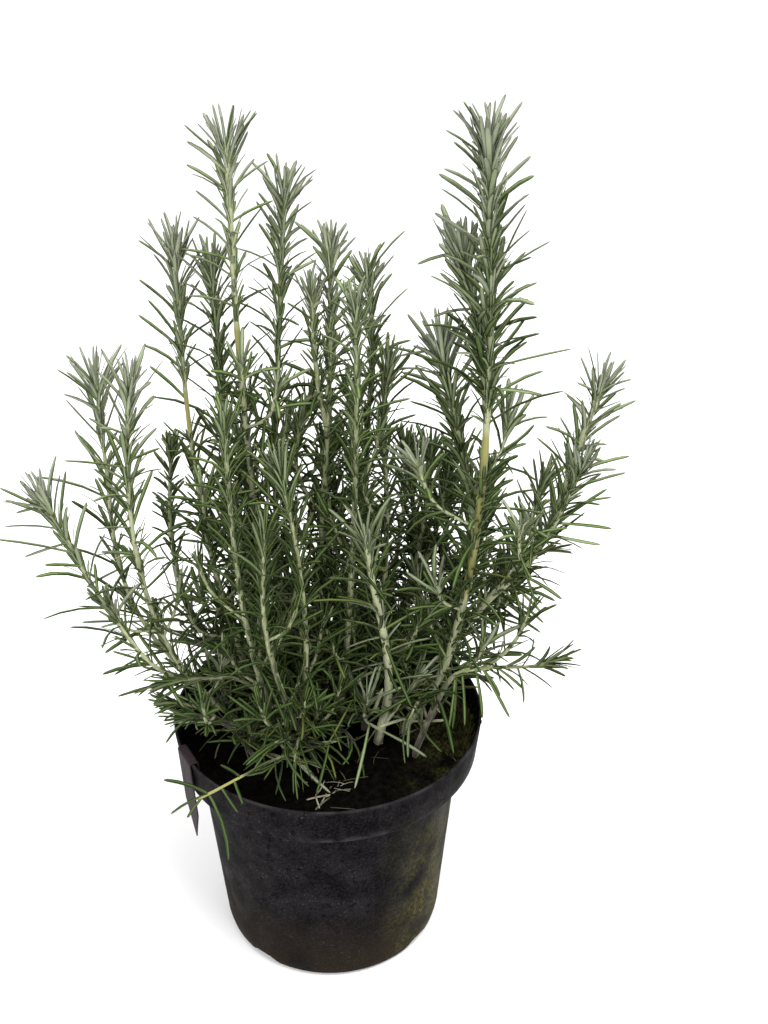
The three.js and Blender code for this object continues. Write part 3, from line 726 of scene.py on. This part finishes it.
def leaf_rods(leaves, section, stations):
    """Blades as rods of a ring at each station. A blade's middle line is an arc of a circle: the chord
    to a share s is as long as s times sinc of half the curl so far, and leans from the stem by the
    lean and half that curl. To this come a sideways swerve and a sag, which both grow as s squared.
    Its flat side is rolled about that line. The width grows as (s + 0.16) to the power 0.28 and closes
    at the blunt tip as the root of 1 - 0.93 s^10, and so does the thickness, which shrinks evenly by
    0.3 on the way. The tone for the finish is a draw, how young and how dead it is, and how young also
    carries painted shade."""
    s = stations[None, :]
    lean, curl = leaves["lean"][:, None], leaves["curl"][:, None]
    length, width = leaves["length"][:, None], leaves["width"][:, None]
    along, outward = leaves["along"][:, None], leaves["outward"][:, None]
    across = np.cross(along, outward)
    chord = length * s * np.sinc(curl * s / (2 * np.pi))
    chord_lean = lean + curl * s / 2
    middle = leaves["root"][:, None] + (chord * np.cos(chord_lean))[..., None] * along
    middle = middle + (chord * np.sin(chord_lean))[..., None] * outward
    middle = middle + (leaves["swerve"][:, None] * length * s**2)[..., None] * across
    middle[..., 2] -= leaves["sag"][:, None] * length * s**2
    angle = lean + curl * s
    forward = np.cos(angle)[..., None] * along + np.sin(angle)[..., None] * outward
    up = np.cross(forward, across)
    roll = leaves["roll"][:, None, None]
    flat = np.cos(roll) * across + np.sin(roll) * up
    up = np.cos(roll) * up - np.sin(roll) * across
    closing = np.sqrt(1 - 0.93 * s**10)
    half = 0.52 * width * (s + 0.16) ** 0.28 * closing
    thick = LEAF_THICKNESS * width / LEAF_WIDTH * (1 - 0.3 * s) * closing
    corners = middle[:, :, None] + (half[..., None] * section[:, 0])[..., None] * flat[:, :, None]
    corners = corners + (thick[..., None] * section[:, 1])[..., None] * up[:, :, None]
    rings, sides = len(stations), len(section)
    shape = (len(leaves), rings, sides)
    blade = np.abs(section[:, 0]), section[:, 2], stations[:, None]
    blade = packed(*(np.broadcast_to(share, shape) for share in blade))
    tone = packed(leaves["draw"], leaves["youth"], leaves["dead"])
    return {
        "corners": corners.reshape(-1, 3),
        "faces": copies(rod_faces(rings, sides), rings * sides, len(leaves)),
        "blade": blade.reshape(-1, 3),
        "tone": np.repeat(tone, rings * sides, axis=0),
        "finish": 0,
    }


# Boxes that leaves stay out of, from the lowest corner to the highest, in millimetres.
CLEARING = np.array([(24, -90, 130), (44, -10, 206)])
MOSS_CLEARING = np.array([(56, -45, 130), (112, 22, 172)])


def inside_box(point, box):
    return ((point > box[0]) & (point < box[1])).all(axis=1)


def clear_of_pot(leaves, in_clearing):
    """Keeps the leaves that stay above the soil, off the collar and off the label from a quarter of
    their length on. None stays in the open place over the moss, and only the front stem's own leaves
    stay in the clearing before it."""
    keep = np.ones(len(leaves), bool)
    across = np.cross(leaves["along"], leaves["outward"])
    for share in np.linspace(0.25, 1, 9):
        lean = leaves["lean"] + leaves["curl"] * share / 2
        reach = leaves["length"] * share
        point = leaves["root"] + (reach * np.cos(lean))[:, None] * leaves["along"]
        point = point + (reach * np.sin(lean))[:, None] * leaves["outward"]
        point = point + (leaves["swerve"] * reach * share)[:, None] * across
        point[:, 2] -= leaves["sag"] * leaves["length"] * share**2
        if not in_clearing:
            keep &= ~inside_box(point, CLEARING)
        keep &= ~inside_box(point, MOSS_CLEARING)
        height = point[:, 2]
        radius = np.hypot(point[:, 0], point[:, 1])
        keep &= ~((radius < COLLAR_FOOT_RADIUS) & (height < soil_top(point[:, 0], point[:, 1]) + 1.5))
        keep &= ~((np.abs(radius - RIM_RADIUS + 2) < 5) & (height < POT_HEIGHT + 1.5))
        keep &= ~((radius < RIM_RADIUS) & (height < ledge))
        aside = np.abs(np.arctan2(point[:, 1], point[:, 0]) - LABEL_ANGLE) * radius
        at_label = (np.abs(radius - RIM_RADIUS) < 8) & (aside < LABEL_WIDTH / 2 + 3)
        keep &= ~(at_label & (height < POT_HEIGHT + 4))
    return leaves[keep]


def leaves_along(path, first, gap, tuft, size, broad, old, bundle, pale, rng):
    """Leaves of one shoot. Pairs stand about a gap apart, closer towards the tip, as 1 - (1 - u)^1.3,
    and each leaf has a tuft of small ones in its axil. They leave the stem at 52 degrees low down and
    28 near the tip, and bend outwards, more so and less evenly low on an old shoot, where some are
    long and a few are dead, dry and shrunken. A bundle of young leaves, each turned by 137.5 degrees
    from the last, closes the tip. A leaf looks younger up the shoot, as u^2, and on a pale stem;
    painted shade darkens it low on the plant and on the inner stems, which are given less paleness."""
    length = length_of(path)
    along, right, front = frames(path)
    reach = max(length - first - 5, 6)
    joints = max(2, round(1.15 * reach / gap))
    joint, other, member = (part.ravel() for part in np.indices((joints, 2, 1 + tuft)))
    small = member > 0
    count = len(joint)
    u = (joint + 0.5) / joints
    run = first + reach * (1 - (1 - u) ** 1.3)
    turn = (joint % 2) * np.pi / 2 + other * np.pi + 0.06 * joint + rng.normal(0, 0.12, count)
    turn = turn + small * rng.uniform(-1.1, 1.1, count)
    wild = (1 - u) * old
    lean = np.radians(52 - 24 * u) + rng.normal(0, 0.12 + 0.34 * np.minimum(wild, 1.2), count)
    lean = np.where(small, lean * rng.uniform(0.15, 0.85, count), lean)
    long_one = (rng.random(count) < 0.08 + 0.05 * old) & (u < 0.75)
    full = size * rng.uniform(0.84, 1.14, count) * (1 + 0.4 * long_one) * (1.18 - 0.26 * u)
    leaf = np.where(small, size * rng.uniform(0.34, 0.84, count), full)
    wide = broad * rng.uniform(0.85, 1.15, count) * np.where(small, 0.78, 1.04 - 0.26 * np.minimum(wild, 1))
    curl = np.radians(rng.normal(16 + 20 * wild, 9 + 13 * wild, count) * np.where(small, 0.8, 1.0))
    sag = rng.uniform(0, 0.3, count) * wild
    youth = np.clip(0.05 + 0.75 * u**2 + rng.normal(0, 0.13, count) + 0.1 * small, 0, 1)
    dead = rng.random(count) < 0.035 * old * (1 - u) ** 2
    inside = np.arange(bundle) / max(bundle, 1)
    turn = np.r_[turn, np.arange(bundle) * GOLDEN_TURN + rng.random()]
    run = np.clip(np.r_[run, length - 13 + 10 * inside], 0, length)
    young_lean = np.radians(27 - 22 * inside) + rng.normal(0, 0.06, bundle)
    young_leaf = size * (1.02 - 0.3 * inside) * rng.uniform(0.8, 1.15, bundle)
    root, nought = at(path, path, run), np.zeros(bundle)
    aside, before = at(path, right, run), at(path, front, run)
    # Painted shade: leaves low on the plant and on the inner, less pale stems are given darker, older
    # colours.
    light = np.clip(pale + (root[:, 2] - SHADE_HEIGHT) / SHADE_DEPTH, 0.1, 1)
    return leaf_set(
        count + bundle,
        root=root,
        along=at(path, along, run),
        outward=np.cos(turn)[:, None] * aside + np.sin(turn)[:, None] * before,
        lean=np.r_[lean, young_lean],
        length=np.r_[leaf * (1 - 0.45 * dead), young_leaf],
        width=np.r_[wide * (1 - 0.35 * dead), broad * (0.88 - 0.3 * inside)],
        curl=np.r_[curl, np.radians(rng.normal(4, 8, bundle))],
        sag=np.r_[sag, nought],
        dead=np.r_[dead, nought],
        fine=np.r_[small, nought],
        youth=np.r_[youth, 0.65 + 0.35 * inside] * light,
        swerve=rng.normal(0, 0.05 + 0.06 * old, count + bundle),
        roll=rng.normal(0, 0.25, count + bundle),
        draw=rng.random(count + bundle),
    )


def side_twigs(path, count, rng):
    """Short twigs, most of them low on a stem, because their places go with a draw to the power 1.6:
    each leaves the stem at about 55 degrees and bends upwards."""
    along, right, front = frames(path)
    length = length_of(path)
    lift = np.array([0, 0, 1.0])
    twigs = []
    for run in (0.04 + 0.6 * rng.random(count) ** 1.6) * length:
        turn, reach = rng.uniform(0, 2 * np.pi), rng.uniform(*TWIG_REACH)
        start, aside, before = (at(path, values, [run])[0] for values in (path, right, front))
        across = math.cos(turn) * aside + math.sin(turn) * before
        middle = start + 0.42 * reach * across + 0.3 * reach * lift
        end = middle + 0.18 * reach * across + 0.45 * reach * lift
        twigs.append([start, middle, end])
    return twigs


def skirt_twigs(path, count, rng):
    """Low twigs that hide a stem's foot. They leave it within 34 mm of the soil, run out nearly level
    and end inside the rim."""
    twigs = []
    while len(twigs) < count:
        turn, run, reach = rng.uniform(0, 2 * np.pi), rng.uniform(5, 34), rng.uniform(*SKIRT_REACH)
        start = at(path, path, [run])[0]
        level = np.array([math.cos(turn), math.sin(turn), 0])
        middle = start + 0.5 * reach * level + (0, 0, 0.26 * reach)
        end = start + reach * level + (0, 0, rng.uniform(0.1, 0.6) * reach)
        if math.hypot(end[0], end[1]) < SKIRT_EDGE:
            twigs.append([start, middle, end])
    return twigs


def long_leaves(path, rows, pale, fresh, rng):
    """Single long leaves that stand out. A row gives the sideways place and the height of a leaf's
    root, its turn about the upright, from 0 at the right to 180 at the left and -90 at the front, the
    angle of its chord from upright and its length. Each grows from the nearest step of the shoots,
    and its flat side is rolled towards the front, by up to 0.3, or by 1.1 where it hangs down."""
    rows = np.array(rows, float)
    count = len(rows)
    # Painted shade: these leaves too are given darker colours low on the plant and on the inner, less pale
    # stems.
    light = np.clip(0.35 + pale + (rows[:, 1] - SHADE_HEIGHT) / SHADE_DEPTH, 0, 1)
    away = np.hypot(path[:, 0] - rows[:, :1], path[:, 2] - rows[:, 1:2])
    turn = np.radians(rows[:, 2])
    facing = np.where(rows[:, 3] > 95, 1.1 * np.abs(np.cos(turn)), 0.3 * np.cos(turn))
    curl = np.radians(rng.normal(16, 7, count))
    return leaf_set(
        count,
        root=path[np.argmin(away, axis=1)],
        along=(0, 0, 1),
        outward=around(turn),
        curl=curl,
        lean=np.radians(rows[:, 3]) - curl / 2,
        swerve=rng.normal(0, 0.05, count),
        roll=rng.normal(0, 0.2, count) + facing,
        length=rows[:, 4],
        width=0.84 * LEAF_WIDTH * rng.uniform(0.9, 1.1, count),
        draw=rng.random(count),
        youth=rng.uniform(0.25, 0.6, count) * light + 0.3 * fresh,
    )


def joined(parts):
    """Several rods and leaves as one set of corners, faces and shares."""
    first = np.cumsum([0] + [len(part["corners"]) for part in parts])
    whole = {key: np.vstack([part[key] for part in parts]) for key in ("corners", "blade", "tone")}
    whole["faces"] = np.vstack([part["faces"] + start for part, start in zip(parts, first)])
    whole["finish"] = np.concatenate([np.full(len(part["faces"]), part["finish"]) for part in parts])
    return whole


def leafy_piece(name, rods, finishes, finish_of=None):
    """A piece of rods or leaves that carries their blade and tone shares."""
    shares = {"blade": rods["blade"], "tone": rods["tone"]}
    return new_piece(name, rods["corners"], rods["faces"], finishes, False, shares, finish_of)


def leafy_stem(
    rng, name, foot, bends, shoots=(), radius=2.0, tip=0.9, slim=0.75, gap=8, tuft=2, twigs=9, skirt=3,
    size=28, broad=2.5, yellow=(0, 0), pale=0, white=None, fresh=0, green=0, first=9, bundle=12, long=(),
):
    """The rods and leaves of a stem, from its foot's place, its bends and those of its side shoots. Its
    radius runs from the foot's to the tip's, and its shoots are slim times as thick. Then come the gap
    between pairs, the small leaves in an axil (tuft), the numbers of short twigs and of low ones
    (skirt), the length (size) and width (broad) of a leaf, the heights between which the bark is
    yellow, how pale the leaves are (given less on the inner stems, as painted shade), how white the
    bark is (as pale, if not given), how much paler the shoots are (fresh) and how much greener the
    leaves (green), the bare length at the foot (first), the leaves in the bundle, and rows of single
    long leaves."""
    low, high = yellow
    whiteness = max(pale if white is None else white, 0)
    foot_height = soil_top(*foot) + STEM_STRAIGHT
    main = smooth_path([(*foot, foot_height), *bends], STEM_STEP)
    # A branch is its path, radius, bare length, age (1 is a stem's), tuft, size, bundle and paleness, which
    # also sets painted shade.
    branches = [(main, radius, first, 1.0, tuft, size, bundle, pale)]
    for points in shoots:
        near = main[np.argmin(np.linalg.norm(main - points[0], axis=1))]
        path = smooth_path([near, *points[1:]], STEM_STEP)
        young = 12 if len(path) > LONG_SHOOT_STEPS else 6
        branches.append((path, slim * radius, 10, 0.5, tuft, size, young, pale + fresh))
    for points in side_twigs(main, twigs, rng):
        branches.append((smooth_path(points, STEM_STEP), 0.9, 6, 1.0, 1, 0.8 * size, 6, pale))
    for points in skirt_twigs(main, skirt, rng):
        branches.append((smooth_path(points, SKIRT_STEP), 0.8, 4, 2.8, 1, 1.25 * size, 2, pale))
    parts = []
    for path, thick, bare, old, small, long_as, young, light in branches:
        share = np.linspace(0, 1, len(path))
        fade = BARK_FADE if thick > 1 else TWIG_BARK_FADE
        youth = np.clip(light + (path[:, 2] - BARK_HEIGHT) / fade, 0, 1) * (0.7 + 0.3 * share)
        golden = (path[:, 2] > low) & (path[:, 2] < high) & (path is main)
        youth = np.maximum(youth, 0.8 * golden)
        rod_path, end = path, TWIG_TIP
        if path is main:
            sunk = [(*foot, foot_height - STEM_DEPTH), (*foot, foot_height - STEM_DEPTH / 2)]
            rod_path, end = np.vstack([sunk, path]), tip
            youth, golden = np.r_[0, 0, youth], np.r_[0, 0, golden]
        parts.append(stem_rod(rod_path, thick, end, whiteness, youth, golden))
        apart = gap * (1.5 if old > 1 else 1)
        leaves = leaves_along(path, bare, apart, small, long_as, broad, old, young, light - green, rng)
        leaves = clear_of_pot(leaves, name == "front")
        if path is main:
            height = leaves["root"][:, 2]
            leaves = leaves[(height < max(low, high - BARE_REACH)) | (height > high)]
        fine = leaves["fine"] > 0
        parts.append(leaf_rods(leaves[~fine], BROAD_SECTION, BROAD_STATIONS))
        parts.append(leaf_rods(leaves[fine], FINE_SECTION, FINE_STATIONS))
    if long:
        points = np.vstack([branch[0] for branch in branches])
        single = long_leaves(points, long, pale - green, fresh, rng)
        parts.append(leaf_rods(single, BROAD_SECTION, BROAD_STATIONS))
    return joined(parts)


# Each stem in millimetres: its name, its foot's place, its bends, and what isn't as usual. All of them
# start from the soil, fan out from the middle, and lean and end where the plant's outline has them.
STEMS = [
    ("tall_left", (-20, 20), [(-37, 28, 195), (-42, 24, 300), (-45, 18, 400), (-44, 10, 503)], dict(
        tip=1.3, gap=10.5, twigs=10, size=29, yellow=(380, 403), white=0.55,
        long=[(-48, 494, 180, 48, 27), (-48, 478, 180, 54, 25), (-44, 495, 0, 34, 29),
              (-44, 503, 0, 13, 20), (-44, 478, 0, 52, 26), (-46, 442, 180, 79, 27)],
    )),
    ("back_left", (-8, 32), [(-27, 32, 205), (-30, 32, 280), (-26, 38, 370), (-19, 45, 470)], dict(
        gap=7.5, twigs=12, pale=-0.15,
        long=[(-23, 469, 180, 22, 22), (-17, 469, 0, 35, 18), (-22, 423, 0, 60, 23)],
    )),
    ("left", (-36, 8), [(-54, 11, 195), (-68, 14, 265), (-76, 22, 350), (-78, 35, 443)], dict(
        gap=10, tuft=3, twigs=8, yellow=(340, 362),
        shoots=[[(-52, 11, 185), (-66, 18, 186), (-82, 26, 192)],
                [(-50, 10, 178), (-60, 24, 180), (-72, 40, 188)]],
        long=[(-79, 432, 180, 49, 25), (-79, 407, 180, 46, 28), (-78, 385, 180, 47, 30),
              (-76, 360, 180, 45, 27), (-78, 419, 0, 32, 28)],
    )),
    ("left_inner", (-30, 26), [(-47, 25, 220), (-56, 24, 313), (-57, 26, 380), (-58, 28, 434)], dict(
        tuft=3, twigs=12, pale=-0.2,
    )),
    ("middle", (-4, 14), [(-7, 10, 205), (1, 8, 315), (6, 7, 400), (7, 5, 455)], dict(
        gap=9, tuft=3, twigs=14, size=22, broad=2.4, pale=-0.1,
        shoots=[[(2, 8, 345), (-2, 4, 385), (-3, 2, 432)]],
        long=[(5, 446, 180, 44, 26)],
    )),
    ("middle_right", (14, 20), [(21, 20, 220), (25, 22, 334), (28, 24, 395), (25, 25, 432)], dict(
        gap=7.5, tuft=3, twigs=12, size=23, broad=2.2, pale=-0.15,
        long=[(24, 428, 0, 37, 34), (24, 398, 0, 39, 31), (25, 431, 0, 30, 20)],
    )),
    ("centre", (6, -6), [(14, -12, 235), (19, -18, 330), (20, -21, 385), (20, -22, 432)], dict(
        gap=8.5, tuft=3, twigs=13, size=25, broad=2.2, pale=-0.25,
    )),
    ("centre_right", (22, 6), [(34, 6, 235), (36, 9, 300), (34, 11, 350), (37, 12, 384)], dict(
        tuft=3, twigs=17, size=26, broad=2.2, pale=-0.3,
    )),
    ("front", (31, -9), [(37, -13, 180), (36, -18, 215), (28, -26, 268), (24, -30, 300)], dict(
        radius=2.8, tip=1.3, slim=0.42, gap=10, tuft=3, twigs=0, skirt=0, size=32, pale=0.7, white=0.9,
        fresh=0.65, green=0.45, first=44, bundle=6,
        shoots=[[(33, -10, 150), (44, -12, 172), (57, -10, 193)],
                [(30, -11, 152), (23, -19, 166), (25, -23, 186)]],
        long=[(26, 158, -95, 100, 50), (31, 151, -35, 101, 34), (31, 152, -125, 118, 26),
              (30, 247, -160, 62, 28), (28, 264, -150, 39, 36), (25, 274, 180, 16, 34),
              (26, 274, -20, 10, 34), (36, 233, 180, 3, 34), (37, 233, -30, 21, 24),
              (32, 226, -160, 97, 24), (33, 233, -150, 53, 24), (31, 207, 180, 109, 30),
              (37, 215, -20, 58, 32), (38, 190, -20, 66, 30), (33, 240, -110, 40, 32),
              (34, 222, -70, 38, 34), (36, 198, -130, 45, 34), (38, 176, -60, 50, 32)],
    )),
    ("tall_right", (47, -1), [(70, -5, 192), (86, -7, 280), (90, -9, 395), (85, -10, 508)], dict(
        radius=2.6, tip=1.4, gap=7, tuft=4, twigs=4, skirt=5, size=32, broad=3.1, yellow=(250, 352),
        pale=0.5, white=0.4,
        shoots=[[(90, -9, 362), (84, -2, 410), (75, 6, 449)],
                [(86, -7, 285), (80, 4, 325), (72, 10, 360), (65, 14, 392)]],
        long=[(84, 506, 180, 32, 24), (85, 500, 180, 55, 26), (86, 505, 0, 28, 20), (90, 462, 0, 40, 26),
              (91, 438, 0, 54, 36), (91, 445, 0, 68, 22), (91, 423, 0, 55, 28), (91, 405, 0, 32, 24),
              (91, 392, 0, 76, 44), (91, 380, 0, 98, 30), (89, 312, 20, 30, 32), (89, 314, 0, 41, 24),
              (89, 318, -20, 22, 24), (89, 312, 170, 33, 30), (89, 315, 180, 48, 20),
              (78, 448, 180, 104, 24), (76, 418, 180, 102, 22), (70, 401, 180, 97, 22)],
    )),
    ("right", (44, 18), [(63, 14, 170), (86, 11, 216), (111, 10, 252), (130, 9, 285), (141, 8, 326),
     (153, 5, 376)], dict(
        radius=2.4, tip=1.4, gap=6.5, twigs=7, size=26, broad=2.3, pale=0.3, white=0.6,
        shoots=[[(97, 10, 232), (120, 5, 263), (137, 1, 302), (145, -1, 330)]],
        long=[(150, 347, 0, 58, 31), (147, 325, 0, 71, 28), (146, 311, 0, 75, 31), (136, 288, 0, 98, 33),
              (134, 283, 0, 104, 31), (152, 362, 0, 36, 24), (150, 366, 180, 31, 19),
              (146, 355, 180, 47, 22), (138, 332, 180, 27, 24), (135, 323, 180, 45, 28),
              (117, 253, 0, 124, 32), (108, 238, 0, 131, 36), (112, 245, 0, 137, 30)],
    )),
    ("right_low", (54, -20), [(66, -17, 176), (78, -14, 196), (100, -12, 199), (124, -13, 201),
     (138, -14, 207)], dict(
        gap=12, tuft=1, twigs=0, size=22, pale=-0.1,
        shoots=[[(92, -12, 198), (103, -9, 204), (114, -7, 218), (120, -6, 236)]],
        long=[(78, 197, -85, 168, 36), (82, 198, -75, 160, 34), (75, 195, -100, 160, 34),
              (88, 197, -60, 155, 30), (94, 197, -20, 152, 38), (93, 198, 0, 151, 24),
              (103, 199, 0, 134, 24), (115, 200, 0, 169, 28)],
    )),
    ("right_back", (36, 38), [(70, 44, 165), (102, 50, 210), (124, 57, 258), (133, 60, 289)], dict(
        size=24,
        shoots=[[(62, 43, 155), (84, 46, 215), (90, 46, 290)]],
    )),
    ("back_right", (20, 42), [(44, 47, 185), (54, 50, 240), (52, 52, 280), (47, 55, 315)], dict(
        gap=7.5, tuft=3, twigs=15, size=23, pale=-0.3,
        shoots=[[(53, 50, 230), (60, 44, 275), (62, 40, 320)],
                [(48, 48, 205), (66, 50, 255), (74, 50, 306)]],
    )),
    ("left_fork", (-34, -10), [(-62, -11, 165), (-87, -11, 200), (-101, -13, 243), (-106, -17, 312),
     (-99, -20, 385)], dict(
        radius=1.9, gap=11.5, tuft=3, twigs=4, size=30, pale=1, white=0.5,
        shoots=[[(-78, -11, 186), (-106, -1, 218), (-120, 4, 258), (-122, 7, 325), (-123, 10, 376)],
                [(-76, -11, 184), (-100, -29, 214), (-122, -32, 256), (-138, -34, 300), (-148, -35, 326)]],
        long=[(-143, 317, 180, 63, 29), (-140, 316, 180, 66, 27), (-146, 321, 180, 103, 17),
              (-139, 318, 0, 8, 34), (-138, 300, 180, 109, 26), (-132, 282, 180, 87, 20),
              (-120, 258, 180, 122, 24), (-116, 245, 180, 94, 22), (-108, 225, 180, 99, 26),
              (-108, 338, 180, 82, 34), (-110, 316, 180, 40, 26), (-121, 365, 180, 45, 28),
              (-122, 372, 180, 35, 24), (-104, 282, 180, 85, 20), (-100, 358, 0, 37, 28),
              (-102, 341, 0, 66, 20)],
    )),
    ("left_front", (-22, -16), [(-36, -30, 195), (-44, -34, 250), (-48, -31, 300), (-50, -25, 368)], dict(
        gap=8.5, twigs=8, skirt=4, size=24, broad=2.1, pale=-0.3,
        shoots=[[(-33, -24, 190), (-50, -28, 202), (-73, -31, 205), (-90, -35, 206)],
                [(-29, -23, 163), (-48, -32, 171), (-65, -38, 181), (-83, -45, 189)]],
        long=[(-82, 200, 180, 107, 31), (-89, 197, 180, 149, 20)],
    )),
    ("front_left", (-8, -28), [(-22, -42, 195), (-32, -43, 250), (-30, -40, 308)], dict(
        gap=8.5, broad=2.2, pale=-0.15,
        shoots=[[(-14, -36, 172), (-10, -33, 230), (-13, -33, 290), (-21, -30, 342)]],
    )),
    ("back_far_left", (-44, 34), [(-66, 42, 165), (-90, 50, 202), (-98, 56, 252), (-94, 60, 313)], dict(
        gap=9, twigs=5, size=17, pale=-0.2,
    )),
    ("front_low", (-6, -44), [(-20, -60, 172), (-40, -76, 174), (-61, -81, 164), (-72, -82, 158)], dict(
        radius=0.6, gap=24, tuft=0, twigs=0, skirt=0, size=27, yellow=(156, 173), pale=-0.45, bundle=2,
        long=[(-65, 163, 180, 64, 27), (-63, 161, 180, 119, 25), (-69, 158, 180, 148, 18),
              (-62, 160, 0, 170, 50), (-55, 161, -42, 137, 17), (-49, 165, -62, 134, 14),
              (-40, 168, 0, 60, 16), (-44, 168, 180, 50, 14)],
    )),
    ("left_low", (-40, -34), [(-56, -36, 172), (-76, -38, 190), (-92, -42, 196)], dict(
        radius=1.7, gap=12, tuft=1, twigs=1, size=18, pale=-0.2,
    )),
    ("back_low_left", (-26, 50), [(-40, 64, 180), (-52, 84, 250), (-58, 96, 303)], dict(
        twigs=7, size=22,
    )),
    ("back_low_middle", (-2, 56), [(-4, 76, 190), (-2, 98, 260), (2, 112, 298)], dict(
        size=22,
    )),
    ("back_low_right", (24, 58), [(36, 76, 180), (46, 92, 240), (52, 102, 288)], dict(
        size=22,
    )),
    ("back_right_low", (46, 52), [(68, 62, 170), (90, 74, 222), (98, 84, 260)], dict(
        twigs=10, size=23, pale=-0.1,
        shoots=[[(54, 54, 148), (70, 62, 210), (75, 66, 272)],
                [(74, 66, 185), (92, 62, 232), (100, 60, 292)]],
    )),
]

for seed, (name, foot, bends, more) in enumerate(STEMS, 100):
    whole = leafy_stem(np.random.default_rng(seed), name, foot, bends, **more)
    sprig = leafy_piece(name + "_sprig", whole, [leaf_finish, stem_finish], whole["finish"])
    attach(sprig, "root")
    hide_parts("leafy_stem_" + name)

# Moss
# A cushion of moss grows on the soil by the right wall, up to the rim. Each shoot is a thread a few
# millimetres tall, brown at its foot and olive at its tip, and leans its own way.
MOSS_SHOOTS = 1900
MOSS_CUSHION = (82, 1)
MOSS_HALF = (15, 27)
MOSS_TALL = 15
MOSS_STATIONS = np.array([0, 0.5, 0.9, 1.0])

moss_finish, shader, place = new_finish("moss")
run = carried(shader, "blade")[2]
moss_colour = tint(patches(place, 0.006, 0.4, 0.62, 4), MOSS_DARK, MOSS_LIGHT)
colour = tint(between(run, 0.5, 0.0), moss_colour, SOIL_BROWN)
wire(shader, ("Base Color", colour), ("Roughness", 0.9), ("Specular IOR Level", 0.05))

rng = np.random.default_rng(31)
moss_x, moss_y = scattered(MOSS_SHOOTS, 1.0, rng)
moss_far = moss_x**2 + moss_y**2
moss_x, moss_y = MOSS_CUSHION[0] + MOSS_HALF[0] * moss_x, MOSS_CUSHION[1] + MOSS_HALF[1] * moss_y
moss_tall = 2.5 + MOSS_TALL * (1 - moss_far) * rng.uniform(0.45, 1.0, MOSS_SHOOTS)
moss = leaf_set(
    MOSS_SHOOTS,
    outward=around(rng.uniform(0, 2 * np.pi, MOSS_SHOOTS)),
    root=packed(moss_x, moss_y, soil_top(moss_x, moss_y) - 0.8),
    along=(0, 0, 1),
    length=moss_tall,
    lean=np.abs(rng.normal(0, 0.22, MOSS_SHOOTS)),
    curl=rng.normal(0.2, 0.3, MOSS_SHOOTS),
    swerve=rng.normal(0, 0.1, MOSS_SHOOTS),
    roll=rng.uniform(-1.5, 1.5, MOSS_SHOOTS),
    width=rng.uniform(0.5, 1.2, MOSS_SHOOTS),
    draw=rng.random(MOSS_SHOOTS),
)
in_pot = np.hypot(moss_x, moss_y) < collar_edge - 1.5
moss = leaf_rods(moss[in_pot], FINE_SECTION, MOSS_STATIONS)
cushion = leafy_piece("moss_cushion", moss, [moss_finish])
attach(cushion, "root")

# Fallen leaves
# Dead rosemary leaves that have dropped from the stems: dry, shrunken and curled, straw-coloured or
# brown. They lie loose on the soil, with a small drift of pale ones at the front.
FALLEN_COUNT = 56
FALLEN_REACH = 84
DRIFT_COUNT = 16
DRIFT = (0, -50)
rng = np.random.default_rng(77)
fallen_x, fallen_y = scattered(FALLEN_COUNT, FALLEN_REACH, rng)
fallen_x[:DRIFT_COUNT] = DRIFT[0] + 0.17 * fallen_x[:DRIFT_COUNT]
fallen_y[:DRIFT_COUNT] = DRIFT[1] + 0.14 * fallen_y[:DRIFT_COUNT]
turn = rng.uniform(0, 2 * np.pi, FALLEN_COUNT)
along = around(turn)
along[:, 2] = rng.normal(0, 0.06, FALLEN_COUNT)
drifted = np.arange(FALLEN_COUNT) < DRIFT_COUNT
fallen = leaf_set(
    FALLEN_COUNT,
    root=packed(fallen_x, fallen_y, crumbly_top(fallen_x, fallen_y) + 0.9),
    along=unit(along),
    outward=np.cross((0, 0, 1), around(turn)),
    curl=rng.normal(0, 0.5, FALLEN_COUNT),
    swerve=rng.normal(0, 0.06, FALLEN_COUNT),
    roll=rng.uniform(-0.6, 0.6, FALLEN_COUNT) + np.pi / 2,
    length=rng.uniform(9, 21, FALLEN_COUNT),
    width=rng.uniform(0.9, 1.7, FALLEN_COUNT),
    draw=np.where(drifted, 1.0, 0.55) * rng.random(FALLEN_COUNT) ** 0.5,
    dead=1,
)
tip = fallen["root"] + fallen["length"][:, None] * fallen["along"]
fallen = fallen[np.hypot(tip[:, 0], tip[:, 1]) < FALLEN_REACH + 2]
fallen = leaf_rods(fallen, FINE_SECTION, FINE_STATIONS)
litter = leafy_piece("fallen_leaves", fallen, [leaf_finish])
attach(litter, "root")
